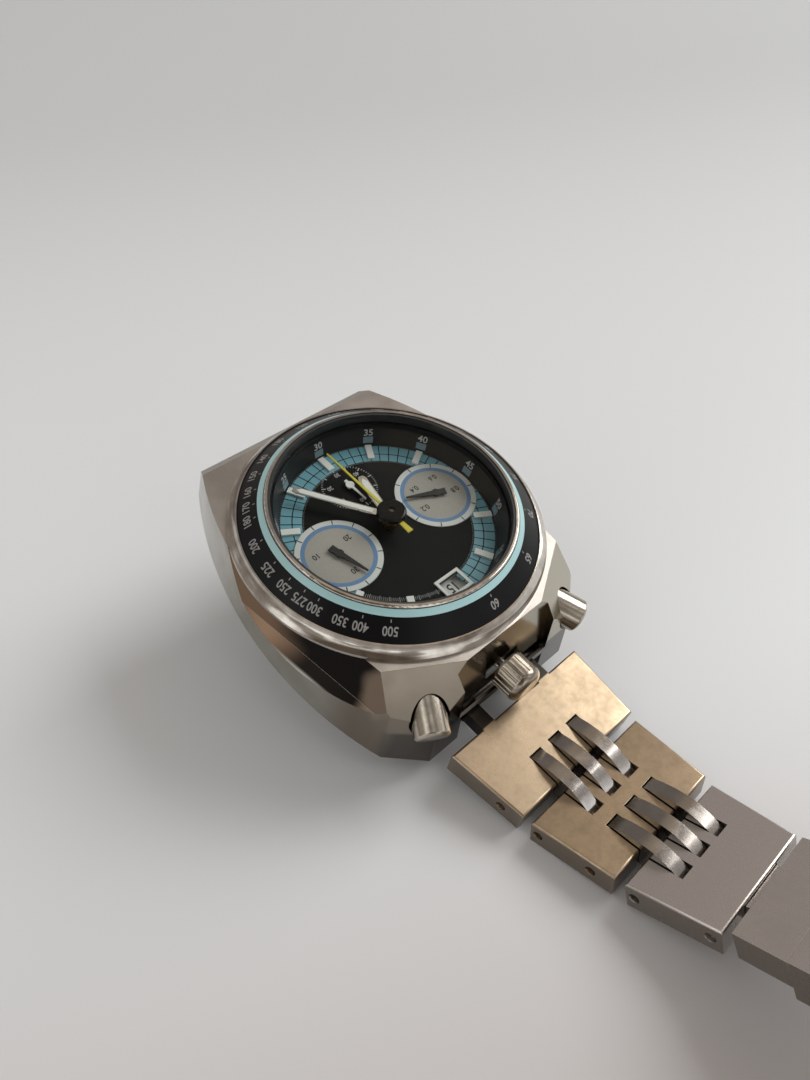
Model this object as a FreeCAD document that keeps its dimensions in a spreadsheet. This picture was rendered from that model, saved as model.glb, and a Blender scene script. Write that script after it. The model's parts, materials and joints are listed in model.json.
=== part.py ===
import FreeCAD, Part
import math
import os
import Sketcher
from FreeCAD import Placement, Rotation, Vector

# Bullhead wrist chronograph on a claw-link bracelet, in millimetres.
# Frame of the watch: +Z up from the table it lies on, +Y from the dial centre towards 12 o'clock.
# The head is built in its own frame (origin at the dial centre, +Z out of the dial, +X to
# 3 o'clock, +Y to 12 o'clock) and then tipped with its 12 o'clock end down.

doc = FreeCAD.newDocument("WristChronograph")
sheet = doc.addObject("Spreadsheet::Sheet", "Sizes")


# ---------------------------------------------------------------- sizes

class Size:
    """A number in millimetres or degrees, with the sheet expression that gives it."""

    def __init__(self, value, text):
        self.value = float(value)
        self.text = text

    def __add__(self, other):
        other = as_size(other)
        return Size(self.value + other.value, "(%s + %s)" % (self.text, other.text))

    def __sub__(self, other):
        other = as_size(other)
        return Size(self.value - other.value, "(%s - %s)" % (self.text, other.text))

    def __mul__(self, other):
        other = as_size(other)
        return Size(self.value * other.value, "(%s * %s)" % (self.text, other.text))

    def __truediv__(self, other):
        other = as_size(other)
        return Size(self.value / other.value, "(%s / %s)" % (self.text, other.text))

    def __radd__(self, other):
        return as_size(other) + self

    def __rsub__(self, other):
        return as_size(other) - self

    def __rmul__(self, other):
        return as_size(other) * self

    def __neg__(self):
        return Size(-self.value, "(0 - %s)" % self.text)


def as_size(number):
    return number if isinstance(number, Size) else Size(number, "(%.9g)" % number)


def sine(angle):
    return Size(math.sin(math.radians(angle.value)), "sin(%s)" % angle.text)


def cosine(angle):
    return Size(math.cos(math.radians(angle.value)), "cos(%s)" % angle.text)


def tangent(angle):
    return Size(math.tan(math.radians(angle.value)), "tan(%s)" % angle.text)


sheet_rows = []


def size(name, value, note):
    """A driving dimension: one row of the sheet, with its alias and a note."""
    sheet_rows.append(name)
    row = len(sheet_rows)
    sheet.set("A%d" % row, "%.9g" % value)
    sheet.setAlias("A%d" % row, name)
    sheet.set("B%d" % row, note)
    return Size(value, "Sizes.%s" % name)


fit_gap = size("fit_gap", 0.03, "radial clearance of a close fit")
seat_gap = size("seat_gap", 0.10, "clearance between curved pieces that sit together")

# how the watch lies
head_tilt = size("head_tilt", 12.0, "slope of the dial, 12 o'clock end down")

# movement holder, flange, crystal, insert and bezel, each carried out from the one inside it
plate_radius = size("plate_radius", 13.3, "radius of the main plate")
ring_wall = size("ring_wall", 1.0, "wall of the movement ring")
ring_height = size("ring_height", 3.4, "height of the movement ring")
flange_wall = size("flange_wall", 1.2, "width of the flange at the dial")
flange_edge = size("flange_edge", 0.5, "width of the flange at the crystal")
crystal_seat = size("crystal_seat", 0.3, "crystal inside the bore of the case")
crystal_thick = size("crystal_thick", 1.3, "thickness of the crystal at its edge")
crystal_crown = size("crystal_crown", 0.35, "rise of the crystal's dome")
crystal_top = size("crystal_top", 4.55, "edge of the crystal above the dial")
gasket_wall = size("gasket_wall", 0.3, "wall of the crystal gasket")
lip_wall = size("lip_wall", 0.44, "wall of the bezel between gasket and insert")
insert_band = size("insert_band", 2.97, "width of the insert, seen from above")
insert_foot = size("insert_foot", 1.9, "outer edge of the insert above the dial")
insert_slope = size("insert_slope", 38.7, "slope of the insert, degrees")
insert_thick = size("insert_thick", 0.35, "thickness of the insert")
bezel_rim = size("bezel_rim", 1.2, "polished rim of the bezel outside the insert")
dial_thick = size("dial_thick", 0.4, "thickness of the dial")
ring_outer = plate_radius + seat_gap + ring_wall
bore_radius = ring_outer + seat_gap
flange_foot = ring_outer - flange_wall
flange_top = ring_outer - flange_edge
crystal_radius = bore_radius - crystal_seat
gasket_outer = crystal_radius + fit_gap + gasket_wall
lip_outer = gasket_outer + fit_gap + lip_wall
insert_inner = lip_outer + fit_gap
insert_radius = insert_inner + insert_band
bezel_radius = insert_radius + bezel_rim

# case, round the bezel
six_margin = size("six_margin", 2.4, "6 o'clock end of the case outside the bezel, at the foot")
twelve_margin = size("twelve_margin", 3.0, "12 o'clock end of the case outside the bezel")
corner_six_inset = size("corner_six_inset", 5.6, "6 o'clock corners inside the bezel's radius")
corner_twelve_inset = size("corner_twelve_inset", 7.4, "12 o'clock corners, as those")
shoulder_inset = size("shoulder_inset", 3.0, "shoulder corners, as those, sideways")
shoulder_setback = size("shoulder_setback", 0.8, "shoulder corners, as those, towards 12")
flank_radius = size("flank_radius", 44.0, "plan radius of the bowed flanks")
flank_lean = size("flank_lean", 6.0, "lean of the side walls, degrees")
case_deck = size("case_deck", 0.4, "top of the case under the bezel")
case_foot = size("case_foot", 13.0, "lowest plane of the case blank below the dial")
wedge_slope = size("wedge_slope", 10.2, "slope of the back against the dial, degrees")
wedge_depth = size("wedge_depth", 8.7, "back below the dial at the centre")
mirror_lean = size("mirror_lean", 20.0, "lean of the polished flank facets, degrees")
mirror_turn = size("mirror_turn", 7.0, "plan angle of the polished flank facets, degrees")
mirror_inset = size("mirror_inset", 1.2, "foot of the polished facets inside the bezel's radius")
mirror_foot = size("mirror_foot", 4.6, "foot of the polished facets below the dial")
six_bevel = size("six_bevel", 1.2, "width of the bevel along the 6 o'clock edge")
shoulder_splay = size("shoulder_splay", 30.0, "angle of the pushers from the 12 o'clock line")
shoulder_slope = size("shoulder_slope", 52.0, "slope of the shoulders under the pushers, degrees")
shoulder_margin = size("shoulder_margin", 0.6, "shoulders start to fall outside the bezel")
saddle_half = size("saddle_half", 7.6, "half width of the saddle between the shoulders")
saddle_length = size("saddle_length", 3.3, "saddle's upper edge from the 12 o'clock end")
saddle_floor = size("saddle_floor", 1.3, "saddle's foot from the 12 o'clock end")
lip_top = size("lip_top", 8.0, "top of the 12 o'clock lip below the dial")
lip_width = size("lip_width", 0.9, "thickness of the 12 o'clock lip")
lip_depth = size("lip_depth", 0.95, "height of the 12 o'clock lip")
case_end_six = bezel_radius + six_margin
case_end_twelve = bezel_radius + twelve_margin
case_corner_six = bezel_radius - corner_six_inset
case_corner_twelve = bezel_radius - corner_twelve_inset
case_shoulder_x = bezel_radius - shoulder_inset
case_shoulder_y = bezel_radius - shoulder_setback
mirror_foot_x = bezel_radius - mirror_inset
shoulder_top = bezel_radius + shoulder_margin
saddle_top = case_end_twelve - saddle_length
saddle_foot_y = case_end_twelve - saddle_floor

# dial furniture
subdial_gap = size("subdial_gap", 0.1, "gap from the side sub-dials to the flange")
subdial_radius = size("subdial_radius", 5.2, "radius of the side sub-dials")
subdial_offset = flange_foot - subdial_gap - subdial_radius
subdial_step = size("subdial_step", 0.12, "height of the side sub-dials")
small_offset = size("small_offset", 7.3, "lower sub-dial from the centre")
marker_width = size("marker_width", 0.85, "width of an hour marker")
marker_length = size("marker_length", 2.3, "length of an hour marker")
marker_height = size("marker_height", 0.3, "height of an hour marker")
marker_rim = size("marker_rim", 0.15, "gap from the hour markers to the flange")
date_inset = size("date_inset", 1.9, "middle of the date window inside the date ring's rim")
date_width = size("date_width", 3.0, "width of the date window")
date_length = size("date_length", 2.1, "height of the date window")
date_rim = size("date_rim", 0.38, "width of the frame round the date window")

# hands
hour_hand_length = size("hour_hand_length", 7.4, "hour hand from the centre")
minute_hand_length = size("minute_hand_length", 12.2, "minute hand from the centre")
chrono_hand_length = size("chrono_hand_length", 11.9, "chronograph hand from the centre")
chrono_tail = size("chrono_tail", 3.4, "counterweight of the chronograph hand")
small_hand_length = size("small_hand_length", 4.0, "hands of the side sub-dials")
lower_hand_length = size("lower_hand_length", 2.9, "hand of the lower sub-dial")
hour_hand_width = size("hour_hand_width", 1.15, "width of the hour hand")
minute_hand_width = size("minute_hand_width", 0.95, "width of the minute hand")
hour_hand_level = size("hour_hand_level", 0.95, "hour hand above the dial")
minute_hand_level = size("minute_hand_level", 1.45, "minute hand above the dial")
chrono_hand_level = size("chrono_hand_level", 1.95, "chronograph hand above the dial")
hand_thick = size("hand_thick", 0.15, "thickness of the hands")
hub_radius = size("hub_radius", 1.8, "radius of the black hub cap")
hub_top = size("hub_top", 2.75, "top of the hub cap above the dial")
hub_bore = size("hub_bore", 0.35, "radius of the chronograph arbor")

# movement
date_ring_inset = size("date_ring_inset", 0.3, "date ring inside the rim of the main plate")
date_ring_band = size("date_ring_band", 3.3, "width of the date ring")
date_ring_thick = size("date_ring_thick", 0.2, "thickness of the date ring")
date_ring_outer = plate_radius - date_ring_inset
date_ring_inner = date_ring_outer - date_ring_band
date_middle = date_ring_outer - date_inset
marker_middle = flange_foot - marker_rim - marker_length / 2
plate_top = size("plate_top", 0.75, "top of the main plate below the dial")
plate_thick = size("plate_thick", 2.6, "thickness of the main plate")
bridge_thick = size("bridge_thick", 0.9, "thickness of the train bridge")
well_depth = size("well_depth", 1.25, "depth of the motion-work well in the main plate")
gear_centre = size("gear_centre", 3.6, "cannon pinion to minute wheel")
wheel_thick = size("wheel_thick", 0.3, "thickness of the motion-work wheels")
bridge_inset = size("bridge_inset", 0.6, "train bridge inside the main plate")
battery_radius = size("battery_radius", 3.4, "radius of the battery")
battery_thick = size("battery_thick", 1.6, "thickness of the battery")
battery_rim = size("battery_rim", 1.2, "battery inside the rim of the train bridge")
battery_turn = size("battery_turn", 50.0, "battery from the 12 o'clock line towards 9, degrees")
coil_reach = size("coil_reach", 5.4, "coil inside the rim of the main plate")
coil_turn = size("coil_turn", 64.5, "coil from the 12 o'clock line towards 3, degrees")

# crown and pushers
crown_level = size("crown_level", 5.3, "crown axis below the dial")
crown_inset = size("crown_inset", 1.2, "inner face of the crown inside the 12 o'clock end")
crown_radius = size("crown_radius", 2.4, "radius of the crown")
crown_length = size("crown_length", 3.8, "length of the crown")
crown_teeth = size("crown_teeth", 22, "flutes of the crown")
stem_radius = size("stem_radius", 0.5, "radius of the stem")
pusher_radius = size("pusher_radius", 2.1, "radius of a pusher cap")
pusher_length = size("pusher_length", 4.6, "length of a pusher cap")
pusher_margin = size("pusher_margin", 1.8, "inner face of a pusher cap outside the bezel")
pusher_level = size("pusher_level", 4.4, "pusher axis below the dial at that face")
pusher_dip = size("pusher_dip", 15.0, "dip of the pusher axes, degrees")
pusher_travel = size("pusher_travel", 1.2, "travel of the pushers")
pusher_stem = size("pusher_stem", 0.6, "radius of a pusher stem")
tube_wall = size("tube_wall", 0.35, "wall of the crown and pusher tubes")
well_margin = size("well_margin", 0.25, "well in the shoulder round a pusher cap")
crown_base = case_end_twelve - crown_inset
pusher_base = bezel_radius + pusher_margin

# case back
thread_margin = size("thread_margin", 0.25, "thread of the case back outside the bore")
back_flange = size("back_flange", 0.85, "case back outside its thread")
back_ledge = size("back_ledge", 2.6, "low step round the case back")
back_step = size("back_step", 0.25, "height of that step")
back_rim = size("back_rim", 0.55, "wall of the threaded rim")
back_thick = size("back_thick", 1.1, "thickness of the case back")
back_rise = size("back_rise", 0.9, "height of the threaded rim")
back_thread = bore_radius + thread_margin
back_radius = back_thread + back_flange
back_plateau = back_radius - back_ledge

# bracelet
bar_radius = size("bar_radius", 0.75, "radius of the spring bars")
bar_twelve_inset = size("bar_twelve_inset", 1.9, "12 o'clock spring bar inside the end of the case")
bar_twelve_z = size("bar_twelve_z", 10.2, "12 o'clock spring bar below the dial")
bar_six_inset = size("bar_six_inset", 2.7, "6 o'clock spring bar inside the end of the case")
bar_six_z = size("bar_six_z", 4.6, "6 o'clock spring bar below the dial")
bar_twelve_y = case_end_twelve - bar_twelve_inset
bar_six_y = case_end_six - bar_six_inset
link_length = size("link_length", 10.0, "length of a link")
link_thick = size("link_thick", 3.2, "thickness of a link")
link_gap = size("link_gap", 1.3, "gap between links")
link_width_a = size("link_width_a", 22.0, "width of the first link at the case")
link_taper = size("link_taper", 2.2, "how much each link narrows")
link_step = size("link_step", 0.6, "step in width from link to link")
link_reach = size("link_reach", 3.8, "spring bar to the body of the first link")
claw_width = size("claw_width", 1.75, "width of a claw")
claw_pitch = size("claw_pitch", 3.25, "spacing of the claws")
claw_back = size("claw_back", 4.7, "claw behind the middle of the gap")
claw_front = size("claw_front", 4.3, "claw ahead of the middle of the gap")
claw_rise = size("claw_rise", 1.15, "claws stand above the links")
claw_depth = size("claw_depth", 2.3, "claws reach below the top of the links")
pin_radius = size("pin_radius", 0.55, "radius of the claw pins")
pin_drop = size("pin_drop", 1.6, "claw pins below the top of the links")
pin_back = size("pin_back", 2.7, "fixed pin from the end of its link")
pin_front = size("pin_front", 0.9, "hinge pin from the start of the next link")
lug_hook_x = size("lug_hook_x", 4.9, "hooks of the first link from the centre line")
lug_hook_radius = size("lug_hook_radius", 1.6, "radius of the hooks round the spring bar")

# clasp
lug_rise = size("lug_rise", 1.1, "top of the first link above the spring bar")
plain_pin = size("plain_pin", 1.2, "clasp hinge from the end of the third link")
tongue_half = size("tongue_half", 3.0, "half width of the clasp hinge's tongue")
hook_half = size("hook_half", 0.95, "half width of a hook on the first link")
link_edge = size("link_edge", 0.3, "rounding of the links' upper edges")
eye_radius = size("eye_radius", 0.95, "radius of the blade hinges' eyes")
clasp_pin = size("clasp_pin", 0.45, "radius of the clasp's pins")
end_link_length = size("end_link_length", 5.4, "length of the clasp's end link")
clasp_radius = size("clasp_radius", 30.0, "outer radius of the clasp's bow")
clasp_sweep = size("clasp_sweep", 70.0, "angle that the clasp cover spans, degrees")
clasp_width = size("clasp_width", 14.0, "width of the clasp cover")
clasp_height = size("clasp_height", 4.6, "depth of the clasp cover's side walls")
clasp_wall = size("clasp_wall", 0.9, "wall of the clasp cover")
blade_thick = size("blade_thick", 1.0, "thickness of the folding blades")
blade_width = size("blade_width", 10.0, "width of the folding blades")
blade_gap = size("blade_gap", 0.25, "clearance between the folded blades")

# angles of the bracelet at rest, each against the piece before it, outward bends positive
bend_lug_twelve = size("bend_lug_twelve", 0.5, "first link against the dial")
bend_one_two = size("bend_one_two", 15.5, "second link against the first")
bend_two_three = size("bend_two_three", 14.2, "third link against the second")
bend_clasp = size("bend_clasp", 11.0, "clasp end link against the third link")
bend_lug_six = size("bend_lug_six", -124.0, "first hidden link, folded under the head")
bend_knee = size("bend_knee", -61.0, "second hidden link against the first")
bend_last = size("bend_last", -10.0, "last hidden link against the one before it")


HEAD = Placement(Vector(), Rotation(Vector(1, 0, 0), -head_tilt.value))


# ---------------------------------------------------------------- drawing helpers

subparts = []


def new_body(label, place=None):
    """A body for one sub-part, placed in the frame of the watch."""
    body = doc.addObject("PartDesign::Body", label)
    body.Label = label
    body.Placement = place or HEAD
    subparts.append(body)
    return body


def new_sketch(body, role, height=None, turned=None):
    """A sketch on one of the body's own planes, lifted along its normal or turned by a placement."""
    sketch = body.newObject("Sketcher::SketchObject", body.Name + "_sketch")
    plane = [item for item in body.Origin.OriginFeatures if item.Role == role][0]
    sketch.AttachmentSupport = [(plane, "")]
    sketch.MapMode = "FlatFace"
    if turned is not None:
        sketch.AttachmentOffset = turned
    if height is not None:
        height = as_size(height)
        sketch.AttachmentOffset = Placement(Vector(0, 0, height.value), Rotation())
        sketch.setExpression("AttachmentOffset.Base.z", height.text)
    return sketch


def pin_point(sketch, geometry, point, x, y):
    """Ties a point of the sketch to the origin by two sizes."""
    for kind, length in (("DistanceX", as_size(x)), ("DistanceY", as_size(y))):
        index = sketch.addConstraint(Sketcher.Constraint(kind, -1, 1, geometry, point, length.value))
        sketch.setExpression("Constraints[%d]" % index, length.text)


def arc_between(start, end, radius):
    """An arc from start to end: a positive radius has its centre on the left of the way."""
    middle = (start + end) * 0.5
    way = end - start
    left = Vector(-way.y, way.x, 0).normalize()
    reach = math.sqrt(max(radius * radius - way.Length ** 2 / 4.0, 0.0))
    centre = middle + left * math.copysign(reach, radius)
    first, last = (start, end) if radius > 0 else (end, start)
    angle_first = math.atan2(first.y - centre.y, first.x - centre.x)
    angle_last = math.atan2(last.y - centre.y, last.x - centre.x)
    circle = Part.Circle(centre, Vector(0, 0, 1), abs(radius))
    return Part.ArcOfCircle(circle, angle_first, angle_last)


def loop(sketch, corners):
    """A closed outline. A corner is (x, y), or (x, y, radius) where an arc leads on from it."""
    count = len(corners)
    ends = []
    for index, corner in enumerate(corners):
        follower = corners[(index + 1) % count]
        start = Vector(as_size(corner[0]).value, as_size(corner[1]).value, 0)
        end = Vector(as_size(follower[0]).value, as_size(follower[1]).value, 0)
        if len(corner) == 2:
            geometry = sketch.addGeometry(Part.LineSegment(start, end), False)
            ends.append((geometry, 1, 2))
            continue
        radius = as_size(corner[2])
        geometry = sketch.addGeometry(arc_between(start, end, radius.value), False)
        ends.append((geometry, 1, 2) if radius.value > 0 else (geometry, 2, 1))
    for index, (geometry, first, last) in enumerate(ends):
        after = ends[(index + 1) % count]
        sketch.addConstraint(Sketcher.Constraint("Coincident", geometry, last, after[0], after[1]))
    for (geometry, first, last), corner in zip(ends, corners):
        pin_point(sketch, geometry, first, corner[0], corner[1])
        if len(corner) == 3:
            radius = as_size(corner[2])
            index = sketch.addConstraint(Sketcher.Constraint("Radius", geometry, abs(radius.value)))
            sketch.setExpression("Constraints[%d]" % index, "abs(%s)" % radius.text)
    return sketch


def ring(sketch, x, y, radius):
    """A circle with its centre and radius tied to sizes."""
    radius = as_size(radius)
    centre = Vector(as_size(x).value, as_size(y).value, 0)
    geometry = sketch.addGeometry(Part.Circle(centre, Vector(0, 0, 1), radius.value), False)
    pin_point(sketch, geometry, 3, x, y)
    index = sketch.addConstraint(Sketcher.Constraint("Radius", geometry, radius.value))
    sketch.setExpression("Constraints[%d]" % index, radius.text)
    return sketch


def rectangle(sketch, left, low, right, high):
    return loop(sketch, [(left, low), (right, low), (right, high), (left, high)])


def pad(body, sketch, length, lean=None, both=False, back=False):
    """Material along the sketch's normal, to both sides or backwards where asked."""
    length = as_size(length)
    feature = body.newObject("PartDesign::Pad", body.Name + "_pad")
    feature.Profile = sketch
    feature.Length = length.value
    feature.setExpression("Length", length.text)
    if lean is not None:
        feature.setExpression("TaperAngle", lean.text)
    feature.Midplane = both
    feature.Reversed = back
    return feature


def pocket(body, sketch, length=None, back=False):
    """A cut of the given depth, or through everything on both sides."""
    feature = body.newObject("PartDesign::Pocket", body.Name + "_pocket")
    feature.Profile = sketch
    if length is None:
        feature.Type = "ThroughAll"
        feature.Midplane = True
        return feature
    length = as_size(length)
    feature.Length = length.value
    feature.setExpression("Length", length.text)
    feature.Reversed = back
    return feature


def wide_pocket(body, sketch, length):
    """A cut of the given overall width, half to each side of the sketch."""
    feature = pocket(body, sketch, length)
    feature.Midplane = True
    return feature


def revolve(body, sketch, kind="PartDesign::Revolution"):
    """A full turn of the sketch about its own vertical axis."""
    feature = body.newObject(kind, body.Name + "_turned")
    feature.Profile = sketch
    feature.ReferenceAxis = (sketch, ["V_Axis"])
    feature.Angle = 360
    return feature


def groove(body, sketch):
    return revolve(body, sketch, "PartDesign::Groove")


def polar(body, feature, count):
    """Copies of a feature round the body's Z axis."""
    pattern = body.newObject("PartDesign::PolarPattern", body.Name + "_round")
    pattern.Originals = [feature]
    pattern.Axis = ([item for item in body.Origin.OriginFeatures if item.Role == "Z_Axis"][0], [""])
    pattern.Angle = 360
    count = as_size(count)
    pattern.Occurrences = int(count.value)
    pattern.setExpression("Occurrences", count.text)
    body.Tip = pattern
    return pattern


def turned(label, profile, place=None):
    """A lathe-turned piece: its half section, in radius and height."""
    body = new_body(label, place)
    revolve(body, loop(new_sketch(body, "XZ_Plane"), profile))
    return body


def soften(body, radius, wanted):
    """Rounds the edges of the body's last feature that the test picks."""
    doc.recompute()
    base = body.Tip
    names = ["Edge%d" % (index + 1) for index, edge in enumerate(base.Shape.Edges) if wanted(edge)]
    feature = body.newObject("PartDesign::Fillet", body.Name + "_round_edges")
    feature.Base = (base, names)
    feature.Radius = radius.value
    feature.setExpression("Radius", radius.text)
    body.Tip = feature
    return feature


def along_x(angle, x, y, z):
    """A placement turned about X, for pieces that lie along the bracelet."""
    return Placement(Vector(x, y, z), Rotation(Vector(1, 0, 0), angle))


# ---------------------------------------------------------------- head: case

FAR = as_size(40)
PIERCE = as_size(1)


def upright(angle):
    """A sketch frame that stands on edge: its x points along the plan angle, its y up."""
    return Placement(Vector(), Rotation(Vector(0, 0, 1), angle) * Rotation(Vector(1, 0, 0), 90))


def pusher_axis(side, reach):
    """Frame on a pusher's axis, z outwards, at a distance from the cap's inner face."""
    splay = math.radians(shoulder_splay.value)
    dip = math.radians(pusher_dip.value)
    way = Vector(side * math.sin(splay) * math.cos(dip), math.cos(splay) * math.cos(dip),
                 -math.sin(dip))
    start = Vector(side * math.sin(splay) * pusher_base.value,
                   math.cos(splay) * pusher_base.value, -pusher_level.value)
    return Placement(start + way * reach, Rotation(Vector(0, 0, 1), way))


BACK_FRAME = along_x(-wedge_slope.value, 0, 0, -wedge_depth.value)
CROWN_FRAME = along_x(-90, 0, crown_base.value, -crown_level.value)
saddle_base_level = lip_top - 0.5
bay_half = saddle_half - 0.4
lip_inner = case_end_twelve - lip_width
bay_wall_twelve = bar_twelve_y - lug_hook_radius - 0.4
bay_roof_twelve = bar_twelve_z - lug_hook_radius - 1.8
bay_wall_six = bar_six_y - lug_hook_radius - 0.6
bay_roof_six = bar_six_z - lug_hook_radius - 0.15
pusher_well = pusher_travel + 0.3
tube_outer = pusher_stem + fit_gap + tube_wall
crown_tube_outer = stem_radius + fit_gap + tube_wall
back_inset = seat_gap


def make_case():
    """The middle case: a leaning wedge with polished flank facets, shoulders and a saddle."""
    body = new_body("case")
    blank = loop(new_sketch(body, "XY_Plane", -case_foot), [
        (-case_corner_six, -case_end_six),
        (case_corner_six, -case_end_six, flank_radius),
        (case_shoulder_x, case_shoulder_y),
        (case_corner_twelve, case_end_twelve),
        (-case_corner_twelve, case_end_twelve),
        (-case_shoulder_x, case_shoulder_y, flank_radius)])
    pad(body, blank, case_foot + case_deck, lean=-flank_lean)
    cut_case_faces(body)
    cut_case_bays(body)
    cut_case_bores(body)
    return body


def cut_case_faces(body):
    """Back wedge, flank facets, 6 o'clock bevel, saddle and shoulders."""
    fall = FAR * tangent(wedge_slope)
    pocket(body, loop(new_sketch(body, "YZ_Plane"), [
        (-FAR, fall - wedge_depth), (-FAR, -FAR), (FAR, -FAR), (FAR, -wedge_depth - fall)]))
    lean = tangent(mirror_lean)
    high = case_deck + PIERCE
    for angle in (mirror_turn.value, 180 - mirror_turn.value):
        pocket(body, loop(new_sketch(body, "XY_Plane", turned=upright(angle)), [
            (mirror_foot_x, -mirror_foot), (FAR, mirror_foot_x - mirror_foot - FAR), (FAR, high),
            (mirror_foot_x - (mirror_foot + high) * lean, high)]))
    six_top = case_end_six - (case_foot + case_deck) * tangent(flank_lean)
    pocket(body, loop(new_sketch(body, "YZ_Plane"), [
        (-(six_top - six_bevel), high), (-(six_top - six_bevel), case_deck),
        (-six_top - PIERCE, case_deck - 0.8 - 0.65 * PIERCE), (-FAR, case_deck), (-FAR, high)]))
    wide_pocket(body, loop(new_sketch(body, "YZ_Plane"), [
        (saddle_top + 0.4, high), (saddle_top + 0.4, case_deck), (saddle_foot_y, -saddle_base_level),
        (saddle_foot_y + 0.2, -lip_top), (FAR, -lip_top), (FAR, high)]), 2 * saddle_half)
    drop = 12 * tangent(shoulder_slope)
    for angle in (90 - shoulder_splay.value, 90 + shoulder_splay.value):
        wide_pocket(body, loop(new_sketch(body, "XY_Plane", turned=upright(angle)), [
            (shoulder_top, high), (shoulder_top, case_deck), (shoulder_top + 12, case_deck - drop),
            (FAR, case_deck - drop), (FAR, high)]), 20)


def cut_case_bays(body):
    """Open bays for the hooks of the first links, with the holes for the spring bars."""
    deep = -FAR
    wide_pocket(body, rectangle(new_sketch(body, "YZ_Plane"),
                                bay_wall_twelve, deep, lip_inner, -bay_roof_twelve), 2 * bay_half)
    wide_pocket(body, rectangle(new_sketch(body, "YZ_Plane"),
                                bay_wall_twelve, deep, FAR, -lip_top - lip_depth), 2 * bay_half)
    wide_pocket(body, rectangle(new_sketch(body, "YZ_Plane"),
                                -FAR, deep, -bay_wall_six, -bay_roof_six), 2 * bay_half)
    for along, level in ((bar_twelve_y, bar_twelve_z), (-bar_six_y, bar_six_z)):
        wide_pocket(body, ring(new_sketch(body, "YZ_Plane"), along, -level, bar_radius),
                    2 * (bay_half + 0.9))


def cut_case_bores(body):
    """Movement bore, case-back seat, crown and pusher bores."""
    pocket(body, ring(new_sketch(body, "XY_Plane", -case_foot - PIERCE), 0, 0, bore_radius),
           case_foot + case_deck + 2 * PIERCE, back=True)
    for depth, radius in ((back_inset + back_thick, back_radius + seat_gap),
                          (back_inset + back_thick + back_rise + seat_gap, back_thread + fit_gap)):
        frame = BACK_FRAME * Placement(Vector(0, 0, depth.value), Rotation())
        pocket(body, ring(new_sketch(body, "XY_Plane", turned=frame), 0, 0, radius), 10)
    crown_start = CROWN_FRAME * Placement(Vector(0, 0, -0.8), Rotation())
    pocket(body, ring(new_sketch(body, "XY_Plane", turned=crown_start), 0, 0, crown_radius + 0.35),
           6, back=True)
    pocket(body, ring(new_sketch(body, "XY_Plane", turned=CROWN_FRAME), 0, 0,
                      crown_tube_outer + fit_gap), crown_base - plate_radius)
    for side in (1, -1):
        well = pusher_axis(side, -pusher_well.value)
        pocket(body, ring(new_sketch(body, "XY_Plane", turned=well), 0, 0, pusher_radius + well_margin),
               pusher_length + pusher_well, back=True)
        pocket(body, ring(new_sketch(body, "XY_Plane", turned=well), 0, 0, tube_outer + fit_gap),
               pusher_base - bore_radius)


case = make_case()

# ---------------------------------------------------------------- head: bezel to dial

insert_rise = tangent(insert_slope)


def cone_level(radius, drop=0):
    """Height of the insert's top face at a radius, less a drop."""
    return insert_foot + (insert_radius - radius) * insert_rise - drop


crystal_foot = crystal_top - crystal_thick
bezel_wall = insert_radius + fit_gap

turned("bezel", [
    (bore_radius, case_deck), (bezel_radius, case_deck), (bezel_radius, case_deck + 0.4, -2.6),
    (bezel_wall + 0.18, insert_foot + 0.1), (bezel_wall, insert_foot + 0.1),
    (bezel_wall, cone_level(bezel_wall, insert_thick + 0.02)),
    (lip_outer, cone_level(lip_outer, insert_thick + 0.02)),
    (lip_outer, crystal_top - 0.15, 0.3), (lip_outer - 0.2, crystal_top + 0.02),
    (gasket_outer + fit_gap, crystal_top + 0.02), (gasket_outer + fit_gap, crystal_foot),
    (bore_radius, crystal_foot)])
turned("tachymeter_insert", [
    (insert_radius, cone_level(insert_radius, insert_thick)), (insert_radius, insert_foot),
    (insert_inner, cone_level(insert_inner)),
    (insert_inner, cone_level(insert_inner, insert_thick))])
turned("crystal", [
    (0, crystal_foot), (crystal_radius, crystal_foot), (crystal_radius, crystal_top - 0.12),
    (crystal_radius - 0.15, crystal_top, 260), (0.4, crystal_top + crystal_crown),
    (0, crystal_top + crystal_crown)])
turned("crystal_gasket", [
    (crystal_radius + fit_gap, crystal_foot), (gasket_outer, crystal_foot),
    (gasket_outer, crystal_top - 0.1), (crystal_radius + fit_gap, crystal_top - 0.1)])
turned("flange", [
    (flange_foot, 0), (ring_outer, 0), (ring_outer, crystal_foot), (flange_top, crystal_foot),
    (flange_top, crystal_foot - 0.3), (flange_foot, 0.35)])


def make_dial():
    body = new_body("dial")
    pad(body, ring(new_sketch(body, "XY_Plane", -dial_thick), 0, 0, ring_outer), dial_thick)
    pocket(body, ring(new_sketch(body, "XY_Plane"), 0, 0, pipe_outer + 0.1))
    pocket(body, rectangle(new_sketch(body, "XY_Plane"),
                           -date_width / 2, date_middle - date_length / 2,
                           date_width / 2, date_middle + date_length / 2))
    for x, y in ((subdial_offset, 0), (-subdial_offset, 0), (0, -small_offset)):
        pocket(body, ring(new_sketch(body, "XY_Plane"), x, y, small_post + 0.05))


def make_subdial(label, x):
    """A silver sub-dial plate, laid on the dial, with a hole for its arbor."""
    body = new_body(label)
    pad(body, ring(new_sketch(body, "XY_Plane"), x, 0, subdial_radius), subdial_step)
    pocket(body, ring(new_sketch(body, "XY_Plane"), x, 0, small_post + 0.05))


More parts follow.
